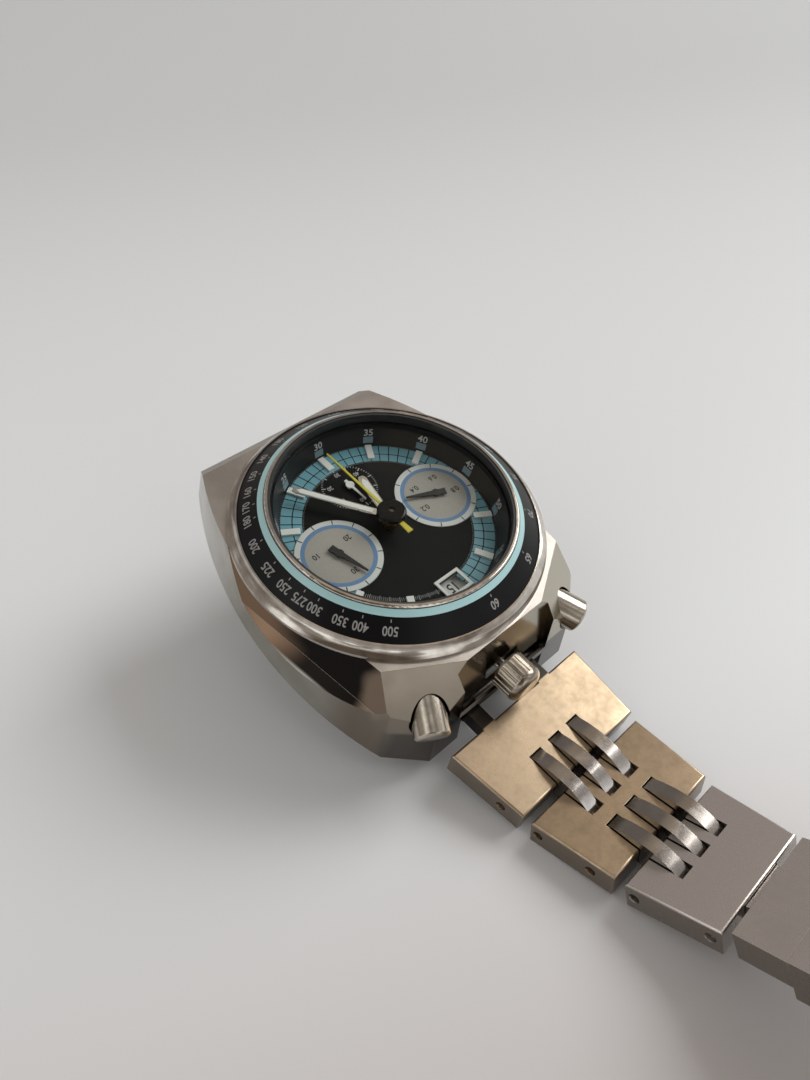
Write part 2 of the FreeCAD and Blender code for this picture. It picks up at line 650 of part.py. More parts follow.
def make_markers():
    """The applied hour markers, one bar at each hour that has room for one."""
    bars = []
    for hour in (1, 2, 4, 5, 6, 7, 8, 10, 11):
        bar = doc.addObject("Part::Box", "marker_%d" % hour)
        for side, length in (("Length", marker_width), ("Width", marker_length),
                             ("Height", marker_height)):
            bar.setExpression(side, length.text)
        turn = Rotation(Vector(0, 0, 1), -30 * hour)
        near = marker_middle.value - marker_length.value / 2
        bar.Placement = Placement(turn.multVec(Vector(-marker_width.value / 2, near, 0)), turn)
        bars.append(bar)
    group = doc.addObject("Part::Compound", "hour_markers")
    group.Links = bars
    group.Placement = HEAD
    subparts.append(group)


def make_date_frame():
    body = new_body("date_frame")
    half = date_width / 2
    low = date_middle - date_length / 2
    high = date_middle + date_length / 2
    pad(body, rectangle(new_sketch(body, "XY_Plane"), -half - date_rim, low - date_rim,
                        half + date_rim, high + date_rim), 0.22)
    pocket(body, rectangle(new_sketch(body, "XY_Plane"), -half, low, half, high))


# radii of the coaxial arbors, from the inside out
cannon_bore = hub_bore + fit_gap
cannon_outer = cannon_bore + 0.24
pipe_bore = cannon_outer + fit_gap
pipe_outer = pipe_bore + 0.25
small_post = as_size(0.3)


def hand(label, angle, outline, level, thick, hub, bore, place_x=0, place_y=0):
    """A flat hand that points to an angle from 12, clockwise, with a round hub and a bore."""
    turn = Placement(Vector(as_size(place_x).value, as_size(place_y).value, 0),
                     Rotation(Vector(0, 0, 1), -angle))
    body = new_body(label, HEAD * turn)
    pad(body, loop(new_sketch(body, "XY_Plane", level), outline), thick)
    pad(body, ring(new_sketch(body, "XY_Plane", level), 0, 0, hub), thick)
    if bore is not None:
        pocket(body, ring(new_sketch(body, "XY_Plane"), 0, 0, bore))
    return body


def baton(length, width, root, tail=0.0):
    """A baton hand: parallel sides, a short taper at the root and a clipped tip."""
    half = width / 2
    return [(-half, length - 0.5), (-half, root + 0.6), (-half * 0.6, -as_size(tail)),
            (half * 0.6, -as_size(tail)), (half, root + 0.6), (half, length - 0.5),
            (half * 0.55, length), (-half * 0.55, length)]


def needle(length, width, tip, tail, tail_width):
    """A tapered needle with a counterweight."""
    return [(-tip / 2, length), (-width / 2, 0), (-tail_width / 2, -as_size(tail)),
            (tail_width / 2, -as_size(tail)), (width / 2, 0), (tip / 2, length)]


hour_angle = size("hour_angle", 192.2, "hour hand at rest, clockwise from 12, degrees")
minute_angle = size("minute_angle", 146.4, "minute hand at rest, degrees")
chrono_angle = size("chrono_angle", 180.0, "chronograph hand at rest, degrees")
nine_angle = size("nine_angle", 113.7, "hand of the 9 o'clock sub-dial at rest, degrees")
three_angle = size("three_angle", 345.0, "hand of the 3 o'clock sub-dial at rest, degrees")
lower_angle = size("lower_angle", 358.0, "hand of the lower sub-dial at rest, degrees")


def make_hands():
    hand("hour_hand", hour_angle.value, baton(hour_hand_length, hour_hand_width, pipe_outer),
         hour_hand_level, hand_thick, pipe_outer + 0.5, pipe_outer + 0.01)
    hand("minute_hand", minute_angle.value,
         baton(minute_hand_length, minute_hand_width, cannon_outer),
         minute_hand_level, hand_thick, cannon_outer + 0.55, cannon_outer + 0.01)
    hand("chrono_hand", chrono_angle.value,
         needle(chrono_hand_length, as_size(0.42), as_size(0.16), chrono_tail, as_size(0.75)),
         chrono_hand_level, hand_thick, hub_bore + 0.6, hub_bore + 0.01)
    cap = new_body("hub_cap")
    cap_foot = chrono_hand_level + hand_thick + 0.02
    revolve(cap, loop(new_sketch(cap, "XZ_Plane"), [
        (hub_bore + 0.01, cap_foot), (hub_radius, cap_foot), (hub_radius, hub_top - 0.3, 0.35),
        (hub_radius - 0.3, hub_top), (hub_bore + 0.01, hub_top)]))
    low = subdial_step + 0.28
    small = ((small_hand_length, 0.75, 0.2, 1.3, 0.95), (lower_hand_length, 0.4, 0.14, 0.9, 0.4))
    for label, angle, x, y, form in (
            ("sub_hand_nine", nine_angle, -subdial_offset, 0, small[0]),
            ("sub_hand_three", three_angle, subdial_offset, 0, small[0]),
            ("sub_hand_lower", lower_angle, 0, -small_offset, small[1])):
        length, width, tip, tail, tail_width = form
        body = hand(label, angle.value,
                    needle(length, as_size(width), as_size(tip), tail, as_size(tail_width)),
                    low, hand_thick, as_size(0.55), None, x, y)
        pad(body, ring(new_sketch(body, "XY_Plane", -plate_top - 0.5), 0, 0, small_post - 0.02),
            plate_top + 0.5 + low)


make_dial()
make_subdial("subdial_nine", -subdial_offset)
make_subdial("subdial_three", subdial_offset)
make_markers()
make_date_frame()
make_hands()

# ---------------------------------------------------------------- head: movement

pinion_teeth = size("pinion_teeth", 12, "teeth of the cannon pinion")
minute_teeth = size("minute_teeth", 36, "teeth of the minute wheel")
idler_teeth = size("idler_teeth", 10, "teeth of the minute wheel's pinion")
hour_teeth = size("hour_teeth", 40, "teeth of the hour wheel")
first_module = gear_centre * 2 / (pinion_teeth + minute_teeth)
second_module = gear_centre * 2 / (idler_teeth + hour_teeth)
well_floor = plate_top + well_depth
first_level = -well_floor + 0.08
second_level = first_level + wheel_thick + 0.12


def gear(body, teeth, module, level, thick):
    """A spur wheel: a disc at the root circle and one tooth copied round it."""
    pitch = module * teeth / 2
    root = pitch - 1.3 * module
    tip = pitch + 0.75 * module
    pad(body, ring(new_sketch(body, "XY_Plane", level), 0, 0, root), thick)
    half_root = module * 0.72
    half_tip = module * 0.30
    tooth = pad(body, loop(new_sketch(body, "XY_Plane", level), [
        (root - 0.4 * module, -half_root), (pitch - 0.3 * module, -half_root),
        (tip, -half_tip), (tip, half_tip),
        (pitch - 0.3 * module, half_root), (root - 0.4 * module, half_root)]), thick)
    polar(body, tooth, teeth)


def make_motion_work():
    """Cannon pinion, minute wheel and hour wheel: 12 turns of the minute hand to one of the hour."""
    half_tooth = 180.0 / pinion_teeth.value
    cannon = new_body("cannon_pinion", HEAD * Placement(Vector(), Rotation(Vector(0, 0, 1), half_tooth)))
    gear(cannon, pinion_teeth, first_module, first_level, wheel_thick)
    pad(cannon, ring(new_sketch(cannon, "XY_Plane", first_level), 0, 0, cannon_outer),
        minute_hand_level + hand_thick - first_level)
    pocket(cannon, ring(new_sketch(cannon, "XY_Plane"), 0, 0, cannon_bore))
    wheel = new_body("minute_wheel", HEAD * Placement(Vector(gear_centre.value, 0, 0), Rotation()))
    gear(wheel, minute_teeth, first_module, first_level, wheel_thick)
    gear(wheel, idler_teeth, second_module, second_level - 0.12, wheel_thick + 0.12)
    pocket(wheel, ring(new_sketch(wheel, "XY_Plane"), 0, 0, wheel_post + fit_gap))
    half_tooth = 180.0 / hour_teeth.value
    hour = new_body("hour_wheel", HEAD * Placement(Vector(), Rotation(Vector(0, 0, 1), half_tooth)))
    gear(hour, hour_teeth, second_module, second_level, wheel_thick)
    pad(hour, ring(new_sketch(hour, "XY_Plane", second_level), 0, 0, pipe_outer),
        hour_hand_level + hand_thick - second_level)
    pocket(hour, ring(new_sketch(hour, "XY_Plane"), 0, 0, pipe_bore))


wheel_post = as_size(0.25)
plate_foot = plate_top + plate_thick


def make_plates():
    """Main plate with the motion-work well, and the train bridge under it."""
    plate = new_body("main_plate")
    pad(plate, ring(new_sketch(plate, "XY_Plane", -plate_foot), 0, 0, plate_radius), plate_thick)
    well = gear_centre * hour_teeth / (idler_teeth + hour_teeth) + 0.35
    pocket(plate, ring(new_sketch(plate, "XY_Plane", -well_floor), 0, 0, well), well_depth + PIERCE, back=True)
    pocket(plate, ring(new_sketch(plate, "XY_Plane", -well_floor), gear_centre, 0, well), well_depth + PIERCE, back=True)
    pad(plate, ring(new_sketch(plate, "XY_Plane", -well_floor), gear_centre, 0, wheel_post), 1.0)
    pocket(plate, ring(new_sketch(plate, "XY_Plane"), 0, 0, hub_bore + fit_gap))
    for x, y in ((subdial_offset, 0), (-subdial_offset, 0), (0, -small_offset)):
        pocket(plate, ring(new_sketch(plate, "XY_Plane", -plate_top - 0.6), x, y, small_post + 0.01),
               2, back=True)
    groove(plate, loop(new_sketch(plate, "XZ_Plane"), [
        (date_ring_inner - seat_gap, -plate_top), (date_ring_outer + seat_gap, -plate_top),
        (date_ring_outer + seat_gap, -plate_top - date_ring_thick - 0.08),
        (date_ring_inner - seat_gap, -plate_top - date_ring_thick - 0.08)]))
    bridge = new_body("train_bridge")
    pad(bridge, ring(new_sketch(bridge, "XY_Plane", -plate_foot - bridge_thick), 0, 0,
                     plate_radius - bridge_inset), bridge_thick)
    pocket(bridge, ring(new_sketch(bridge, "XY_Plane"), battery_x, battery_y,
                        battery_radius + 0.15))
    pocket(bridge, ring(new_sketch(bridge, "XY_Plane"), 0, 0, hub_bore + fit_gap))
    pocket(bridge, rectangle(new_sketch(bridge, "XY_Plane"), coil_x - 1.2, coil_y - 3.4,
                             coil_x + 1.2, coil_y + 3.4))


battery_reach = plate_radius - bridge_inset - battery_rim - battery_radius
battery_x = -battery_reach * sine(battery_turn)
battery_y = battery_reach * cosine(battery_turn)
coil_x = (plate_radius - coil_reach) * sine(coil_turn)
coil_y = (plate_radius - coil_reach) * cosine(coil_turn)


def make_movement_pieces():
    """Date ring, chronograph arbor, battery, coil, setting block, pinion and stem."""
    dated = new_body("date_ring")
    revolve(dated, loop(new_sketch(dated, "XZ_Plane"), [
        (date_ring_inner, -plate_top - date_ring_thick), (date_ring_outer, -plate_top - date_ring_thick),
        (date_ring_outer, -plate_top), (date_ring_inner, -plate_top)]))
    turned("chrono_arbor", [
        (0, -plate_foot - bridge_thick - 0.3), (hub_bore, -plate_foot - bridge_thick - 0.3),
        (hub_bore, hub_top - 0.2), (0, hub_top - 0.2)])
    battery = new_body("battery")
    revolve(battery, loop(new_sketch(battery, "XZ_Plane"), [
        (0, 0), (battery_radius, 0), (battery_radius, -battery_thick + 0.25),
        (battery_radius - 0.3, -battery_thick + 0.25), (battery_radius - 0.3, -battery_thick),
        (0, -battery_thick)]))
    battery.Placement = HEAD * Placement(
        Vector(battery_x.value, battery_y.value, -plate_foot.value), Rotation())
    coil = new_body("coil", HEAD * along_x(90, coil_x.value, coil_y.value, -plate_foot.value - 0.85))
    revolve(coil, loop(new_sketch(coil, "XZ_Plane"), [
        (0, -3.2), (0.4, -3.2), (0.4, -2.6), (0.8, -2.6), (0.8, 2.6), (0.4, 2.6), (0.4, 3.2),
        (0, 3.2)]))


block_inset = size("block_inset", 0.7, "setting block inside the rim of the main plate")
block_length = size("block_length", 4.0, "length of the setting block")
block_half = size("block_half", 2.2, "half width of the setting block")
pinion_radius = size("pinion_radius", 0.95, "radius of the setting pinion")
block_far = plate_radius - block_inset
block_near = block_far - block_length


def make_crown_works():
    block = new_body("setting_block")
    block_top = -plate_foot - bridge_thick
    pad(block, rectangle(new_sketch(block, "XY_Plane", -crown_level - 1.3), -block_half, block_near,
                         block_half, block_far), block_top + crown_level + 1.3)
    pocket(block, ring(new_sketch(block, "XZ_Plane"), 0, -crown_level, stem_radius + fit_gap))
    wide_pocket(block, rectangle(new_sketch(block, "YZ_Plane"), block_near + 1.2, -crown_level - 2,
                                 block_far - 1.2, block_top + 0.01 - PIERCE * 0.01), 2 * pinion_radius + 0.2)
    thick = block_far - block_near - 2.4 - 0.1
    pinion = turned("setting_pinion", [
        (stem_radius + fit_gap, 0), (pinion_radius, 0), (pinion_radius, thick),
        (stem_radius + fit_gap, thick)],
        HEAD * along_x(-90, 0, block_near.value + 1.25, -crown_level.value))
    stem_tail = crown_base - block_near + 0.6
    turned("stem", [(0, -stem_tail), (stem_radius, -stem_tail), (stem_radius, 1.5), (0, 1.5)],
           HEAD * CROWN_FRAME)
    turned("crown_tube", [
        (stem_radius + fit_gap, -4.6), (crown_tube_outer, -4.6), (crown_tube_outer, -0.85),
        (stem_radius + fit_gap, -0.85)], HEAD * CROWN_FRAME)
    crown = new_body("crown", HEAD * CROWN_FRAME)
    revolve(crown, loop(new_sketch(crown, "XZ_Plane"), [
        (stem_radius + 0.01, 0), (crown_radius - 0.25, 0), (crown_radius, 0.3),
        (crown_radius, crown_length - 0.9, 1.1), (crown_radius - 0.9, crown_length),
        (0, crown_length), (0, 1.55), (stem_radius + 0.01, 1.55)]))
    flute = pocket(crown, ring(new_sketch(crown, "XY_Plane", 0.35), crown_radius + 0.06, 0, 0.2),
                   crown_length - 1.35, back=True)
    polar(crown, flute, crown_teeth)


def make_pushers():
    """Both pushers with their stems, and the tubes that guide them."""
    for label, side in (("pusher_start", -1), ("pusher_reset", 1)):
        frame = HEAD * pusher_axis(side, 0)
        turned(label, [
            (0, -5.9), (pusher_stem, -5.9), (pusher_stem, 0), (pusher_radius, 0),
            (pusher_radius, pusher_length - 0.25), (pusher_radius - 0.25, pusher_length, 30),
            (0.3, pusher_length + 0.06), (0, pusher_length + 0.06)], frame)
        turned(label + "_tube", [
            (pusher_stem + fit_gap, -5.4), (tube_outer, -5.4), (tube_outer, -pusher_well),
            (pusher_stem + fit_gap, -pusher_well)], frame)


def make_ring_and_back():
    ring_body = new_body("movement_ring")
    revolve(ring_body, loop(new_sketch(ring_body, "XZ_Plane"), [
        (plate_radius + seat_gap, -dial_thick - ring_height), (ring_outer, -dial_thick - ring_height),
        (ring_outer, -dial_thick), (plate_radius + seat_gap, -dial_thick)]))
    for side in (1, -1):
        notch = pusher_axis(side, plate_radius.value - pusher_base.value - PIERCE.value)
        pocket(ring_body, ring(new_sketch(ring_body, "XY_Plane", turned=notch), 0, 0,
                               pusher_stem + 0.3), 6, back=True)
    back = turned("case_back", [
        (0, back_inset), (back_plateau, back_inset), (back_plateau, back_inset + back_step),
        (back_radius - 0.2, back_inset + back_step), (back_radius, back_inset + back_step + 0.2),
        (back_radius, back_inset + back_thick), (back_thread, back_inset + back_thick),
        (back_thread, back_inset + back_thick + back_rise),
        (back_thread - back_rim, back_inset + back_thick + back_rise),
        (back_thread - back_rim, back_inset + back_thick), (0, back_inset + back_thick)],
        HEAD * BACK_FRAME)
    notch = pocket(back, rectangle(new_sketch(back, "XY_Plane"), back_radius - 1.3, -0.9,
                                   back_radius + 1, 0.9), back_inset + 0.5, back=True)
    polar(back, notch, as_size(6))


make_motion_work()
make_plates()
make_movement_pieces()
make_crown_works()
make_pushers()
make_ring_and_back()

# ---------------------------------------------------------------- bracelet

slot_half = claw_width / 2 + 0.1
slot_back = claw_back - link_gap / 2 + 0.2
slot_front = claw_front - link_gap / 2 + 0.45


def make_spring_bar(label, along, level):
    """A spring bar across the head, its two tips in the lug holes."""
    tip = bay_half + 0.75
    shoulder = bay_half - 0.1
    frame = HEAD * Placement(Vector(0, as_size(along).value, -level.value),
                             Rotation(Vector(0, 1, 0), 90))
    turned(label, [
        (0, -tip), (bar_radius - 0.3, -tip), (bar_radius - 0.3, -shoulder), (bar_radius, -shoulder),
        (bar_radius, shoulder), (bar_radius - 0.3, shoulder), (bar_radius - 0.3, tip), (0, tip)],
        frame)


def link_blank(body, near, top, near_width, far_width):
    """The tapered plate of a link, from its near end, with its top at the given height."""
    far = near + link_length
    sketch = loop(new_sketch(body, "XY_Plane", top - link_thick), [
        (-near_width / 2, near), (near_width / 2, near), (far_width / 2, far), (-far_width / 2, far)])
    pad(body, sketch, link_thick)
    level = top.value
    soften(body, link_edge, lambda edge: all(abs(end.Z - level) < 0.01 for end in edge.Vertexes))
    return far


def claw_slots(body, low, high):
    """Three slots right through the link for the claws."""
    for column in (-1, 0, 1):
        middle = column * claw_pitch
        pocket(body, rectangle(new_sketch(body, "XY_Plane"), middle - slot_half, low,
                               middle + slot_half, high))


def cross_hole(body, along, level, radius):
    pocket(body, ring(new_sketch(body, "YZ_Plane"), along, level, radius))




def make_first_link(label, place, near_width, far_width):
    """The link at the case: two hooks round the spring bar, claw slots at its far end."""
    body = new_body(label, place)
    far = link_blank(body, link_reach, lug_rise, near_width, far_width)
    for column in (-1, 1):
        start = column * lug_hook_x - hook_half
        pad(body, ring(new_sketch(body, "YZ_Plane", start), 0, 0, lug_hook_radius), 2 * hook_half)
        pad(body, rectangle(new_sketch(body, "YZ_Plane", start), 0, -1, link_reach + 0.5, lug_rise),
            2 * hook_half)
    cross_hole(body, 0, 0, bar_radius + fit_gap)
    claw_slots(body, far - slot_back, far + PIERCE)
    cross_hole(body, far - pin_back, lug_rise - pin_drop, pin_radius + fit_gap)
    return body


def make_middle_link(label, place, near_width, far_width, far_end):
    """A link hinged on the claws before it; its far end is for claws, the clasp or the catch."""
    body = new_body(label, place)
    far = link_blank(body, -pin_front, pin_drop, near_width, far_width)
    claw_slots(body, -pin_front - PIERCE, slot_front - pin_front)
    cross_hole(body, 0, 0, pin_radius + fit_gap)
    if far_end == "claws":
        claw_slots(body, far - slot_back, far + PIERCE)
        cross_hole(body, far - pin_back, 0, pin_radius + fit_gap)
    else:
        hinge = far - plain_pin
        half = tongue_half + 0.1
        wide_pocket(body, rectangle(new_sketch(body, "YZ_Plane"), hinge - 1.4,
                                    pin_drop - link_thick - PIERCE, far + PIERCE,
                                    pin_drop - 0.3), 2 * half)
        cross_hole(body, hinge, 0, pin_radius + fit_gap)
    return body


def make_claws(label, place, near_width, far_width):
    """Three arched claws on two cross pins, in a frame at the middle of the gap, on the top."""
    body = new_body(label, place)
    peak = as_size(0.7)
    hinge = link_gap / 2 + pin_front
    fixed = -(link_gap / 2 + pin_back)
    for column in (-1, 0, 1):
        sketch = new_sketch(body, "YZ_Plane", column * claw_pitch - claw_width / 2)
        loop(sketch, [
            (-claw_back, -1.1), (-claw_back, -0.05, -11), (peak, claw_rise, -9), (claw_front, -0.15),
            (claw_front - 0.4, -1.1), (hinge + 0.65, -claw_depth), (fixed - 0.5, -claw_depth)])
        pad(body, sketch, claw_width)
    for along, width in ((fixed, near_width), (hinge, far_width)):
        pad(body, ring(new_sketch(body, "YZ_Plane"), along, -pin_drop, pin_radius), width - 0.6,
            both=True)
    return body


def width_at(index, end):
    """Width of a link: index 0 is at the case, end 0 its near end and 1 its far end."""
    return link_width_a - index * (link_taper + link_step) - end * link_taper


def chain(start, bends, names, claw_names, last_end):
    """Lays one half of the bracelet, link after link, and returns the last hinge frame."""
    frame = start * along_x(bends[0], 0, 0, 0)
    make_first_link(names[0], frame, width_at(0, 0), width_at(0, 1))
    near = link_reach.value
    top = lug_rise.value
    for index in range(1, len(names)):
        far = near + link_length.value
        gap_frame = frame * along_x(0, 0, far + link_gap.value / 2, top)
        make_claws(claw_names[index - 1], gap_frame, width_at(index - 1, 1), width_at(index, 0))
        hinge = far + link_gap.value + pin_front.value
        frame = frame * along_x(bends[index], 0, hinge, top - pin_drop.value)
        end = last_end if index == len(names) - 1 else "claws"
        make_middle_link(names[index], frame, width_at(index, 0), width_at(index, 1), end)
        near = -pin_front.value
        top = pin_drop.value
    return frame * along_x(0, 0, near + link_length.value - plain_pin.value, 0)


make_spring_bar("spring_bar_twelve", bar_twelve_y, bar_twelve_z)
make_spring_bar("spring_bar_six", -bar_six_y, bar_six_z)
TWELVE_BAR = HEAD * Placement(Vector(0, bar_twelve_y.value, -bar_twelve_z.value), Rotation())
SIX_BAR = HEAD * Placement(Vector(0, -bar_six_y.value, -bar_six_z.value),
                           Rotation(Vector(0, 0, 1), 180))
CLASP_HINGE = chain(TWELVE_BAR, [bend_lug_twelve.value, bend_one_two.value, bend_two_three.value],
                    ["link_one", "link_two", "link_three"], ["claws_one", "claws_two"], "hinge")
chain(SIX_BAR, [bend_lug_six.value, bend_knee.value, bend_last.value],
      ["hidden_link_one", "hidden_link_two", "hidden_link_three"],
      ["hidden_claws_one", "hidden_claws_two"], "catch")

# ---------------------------------------------------------------- clasp

CLASP = CLASP_HINGE * along_x(bend_clasp.value, 0, 0, 0)
end_near = plain_pin + 1.1
bow_start = end_near + end_link_length
bow_foot = pin_drop - clasp_radius
blade_outer = clasp_radius - clasp_wall - blade_gap
blade_inner = blade_outer - blade_thick - blade_gap
far_pin_angle = clasp_sweep - 2.6
near_pin_angle = as_size(4.5)
far_pin_reach = clasp_radius - clasp_wall - 1.3
near_pin_reach = blade_inner - 0.35


def on_bow(reach, angle):
    """A point of the clasp's side view, by its reach from the bow's centre and its angle."""
    return (bow_start + reach * sine(as_size(angle)), bow_foot + reach * cosine(as_size(angle)))


def bow_sector(sketch, outer, inner, start, end):
    """A curved strip of the side view, between two radii and two angles."""
    first = on_bow(outer, start)
    second = on_bow(outer, end)
    third = on_bow(inner, end)
    fourth = on_bow(inner, start)
    return loop(sketch, [(first[0], first[1], -outer), second, (third[0], third[1], inner), fourth])


def make_end_link():
    body = new_body("clasp_end_link", CLASP)
    near_width = width_at(3, 0)
    sketch = loop(new_sketch(body, "XY_Plane", pin_drop - link_thick), [
        (-near_width / 2, end_near), (near_width / 2, end_near),
        (clasp_width / 2, end_near + end_link_length), (-clasp_width / 2, end_near + end_link_length)])
    pad(body, sketch, link_thick)
    pad(body, ring(new_sketch(body, "YZ_Plane"), 0, 0, 1.2), 2 * tongue_half, both=True)
    pad(body, rectangle(new_sketch(body, "YZ_Plane"), 0, -1.2, end_near + 0.5, 0.9),
        2 * tongue_half, both=True)
    cross_hole(body, 0, 0, pin_radius + fit_gap)
    hinge = new_body("clasp_hinge_pin", CLASP)
    pad(hinge, ring(new_sketch(hinge, "YZ_Plane"), 0, 0, pin_radius), width_at(2, 1) - 0.6, both=True)


def make_cover():
    body = new_body("clasp_cover", CLASP)
    pad(body, bow_sector(new_sketch(body, "YZ_Plane"), clasp_radius, clasp_radius - clasp_height,
                         as_size(0), clasp_sweep), clasp_width, both=True)
    wide_pocket(body, bow_sector(new_sketch(body, "YZ_Plane"), clasp_radius - clasp_wall,
                                 clasp_radius - clasp_height - PIERCE, as_size(2.2), clasp_sweep + 4),
                clasp_width - 2 * clasp_wall)
    pin_point_y, pin_point_z = on_bow(far_pin_reach, far_pin_angle)
    cross_hole(body, pin_point_y, pin_point_z, clasp_pin + fit_gap)


def make_blades():
    """The two folding blades of the clasp, nested under its cover, and their pins."""
    far_y, far_z = on_bow(far_pin_reach, far_pin_angle)
    near_y, near_z = on_bow(near_pin_reach, near_pin_angle)
    outer = new_body("outer_blade", CLASP)
    pad(outer, bow_sector(new_sketch(outer, "YZ_Plane"), blade_outer, blade_outer - blade_thick,
                          near_pin_angle + 3.0, far_pin_angle), blade_width, both=True)
    pad(outer, bow_sector(new_sketch(outer, "YZ_Plane"), blade_outer, blade_outer - blade_thick,
                          near_pin_angle, near_pin_angle + 3.5), blade_width * 0.46, both=True)
    pad(outer, ring(new_sketch(outer, "YZ_Plane"), far_y, far_z, eye_radius), blade_width, both=True)
    pad(outer, ring(new_sketch(outer, "YZ_Plane"), near_y, near_z, eye_radius), blade_width * 0.46,
        both=True)
    cross_hole(outer, far_y, far_z, clasp_pin + fit_gap)
    cross_hole(outer, near_y, near_z, clasp_pin + fit_gap)
    inner = new_body("inner_blade", CLASP)
    inner_end = far_pin_angle - 6.0
    pad(inner, bow_sector(new_sketch(inner, "YZ_Plane"), blade_inner, blade_inner - blade_thick,
                          near_pin_angle, inner_end), blade_width, both=True)
    pad(inner, ring(new_sketch(inner, "YZ_Plane"), near_y, near_z, eye_radius), blade_width, both=True)
    wide_pocket(inner, bow_sector(new_sketch(inner, "YZ_Plane"), clasp_radius, blade_inner - 3 * eye_radius,
                                  near_pin_angle - 6.0, near_pin_angle + 3.0), blade_width * 0.5)
    cross_hole(inner, near_y, near_z, clasp_pin + fit_gap)
    catch_y, catch_z = on_bow(blade_inner - blade_thick, inner_end - 2.5)
    pad(inner, ring(new_sketch(inner, "YZ_Plane"), catch_y, catch_z, eye_radius), blade_width * 0.4,
        both=True)
    for label, y, z, length in (("blade_pin_far", far_y, far_z, clasp_width - 0.2),
                                ("blade_pin_near", near_y, near_z, blade_width),
                                ("catch_pin", catch_y, catch_z, blade_width)):
        pin = new_body(label, CLASP)
        pad(pin, ring(new_sketch(pin, "YZ_Plane"), y, z, clasp_pin), length, both=True)
    cross_hole(inner, catch_y, catch_z, clasp_pin + 0.01)


make_end_link()
make_cover()
make_blades()

# ---------------------------------------------------------------- check and write

doc.recompute()
whole = FreeCAD.BoundBox()
for part in subparts:
    whole.add(part.Shape.optimalBoundingBox(False, False))
REST = Placement(Vector(-whole.Center.x, -whole.Center.y, -whole.ZMin), Rotation())
for part in subparts:
    part.Placement = REST * part.Placement
doc.recompute()
for item in doc.Objects:
    if "Invalid" in item.State or "Error" in item.State:
        raise RuntimeError("%s failed: %s" % (item.Label, item.State))
for part in subparts:
    if part.Shape.isNull() or not part.Shape.isValid():
        raise RuntimeError("%s has no valid shape" % part.Label)
os.makedirs("parts", exist_ok=True)
for part in subparts:
    part.Shape.exportStep("parts/%s.step" % part.Label)
print("%d sub-parts written" % len(subparts))
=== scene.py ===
import json
import math

import bmesh
import bpy
import numpy as np
from mathutils import Matrix, Vector

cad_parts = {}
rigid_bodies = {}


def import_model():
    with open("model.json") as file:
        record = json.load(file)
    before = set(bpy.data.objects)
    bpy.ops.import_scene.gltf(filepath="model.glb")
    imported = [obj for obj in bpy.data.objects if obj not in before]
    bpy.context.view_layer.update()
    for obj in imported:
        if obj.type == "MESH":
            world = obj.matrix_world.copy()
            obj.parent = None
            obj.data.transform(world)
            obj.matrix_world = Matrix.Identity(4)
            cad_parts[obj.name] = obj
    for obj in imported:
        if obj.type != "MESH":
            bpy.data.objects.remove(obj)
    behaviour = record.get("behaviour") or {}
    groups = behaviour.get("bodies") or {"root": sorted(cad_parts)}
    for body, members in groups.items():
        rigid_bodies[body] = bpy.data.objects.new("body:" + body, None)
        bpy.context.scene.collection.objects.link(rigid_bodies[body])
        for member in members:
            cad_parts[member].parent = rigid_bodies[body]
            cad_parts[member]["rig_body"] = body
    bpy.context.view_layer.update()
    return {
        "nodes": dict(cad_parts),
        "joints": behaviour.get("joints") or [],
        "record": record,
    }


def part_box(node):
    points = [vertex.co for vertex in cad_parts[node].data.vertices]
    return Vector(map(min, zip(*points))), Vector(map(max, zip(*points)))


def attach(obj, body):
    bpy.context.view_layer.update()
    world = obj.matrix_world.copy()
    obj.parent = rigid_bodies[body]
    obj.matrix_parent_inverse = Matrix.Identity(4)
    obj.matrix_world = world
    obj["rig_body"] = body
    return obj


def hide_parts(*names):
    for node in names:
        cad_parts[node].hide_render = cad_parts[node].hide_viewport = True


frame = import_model()

# Bullhead wrist chronograph on a claw-link bracelet. The head has a frame of its own: origin at
# the dial centre, x to 3 o'clock, y to 12 o'clock, z out of the dial. Sizes in it are millimetres.

MM = 0.001
joints = {joint["name"]: joint for joint in frame["joints"]}
nodes = frame["nodes"]
scene = bpy.context.scene

dial_centre = np.array(joints["minute_turn"]["pos_m"])
dial_up = -np.array(joints["minute_turn"]["axis"])
dial_across = np.array([1.0, 0.0, 0.0])
dial_along = np.cross(dial_up, dial_across)
dial_axes = np.array([dial_across, dial_along, dial_up])


def from_dial(points):
    """Metres in the part's frame from millimetres in the dial's."""
    return dial_centre + np.asarray(points, float) * MM @ dial_axes


def dial_point(joint_name):
    """Where a joint's axis meets the dial, in dial-frame millimetres."""
    return (dial_axes @ (np.array(joints[joint_name]["pos_m"]) - dial_centre))[:2] / MM


# ---------------------------------------------------------------- sizes of the dial and bezel
# Pairs are an inner and an outer radius, but the ends of the flange are a radius and a height
# above the dial, type is its height and its radius, and the black sector is two clock angles,
# in degrees clockwise from 12 o'clock. Places on the flange are parts of the way up its slope.

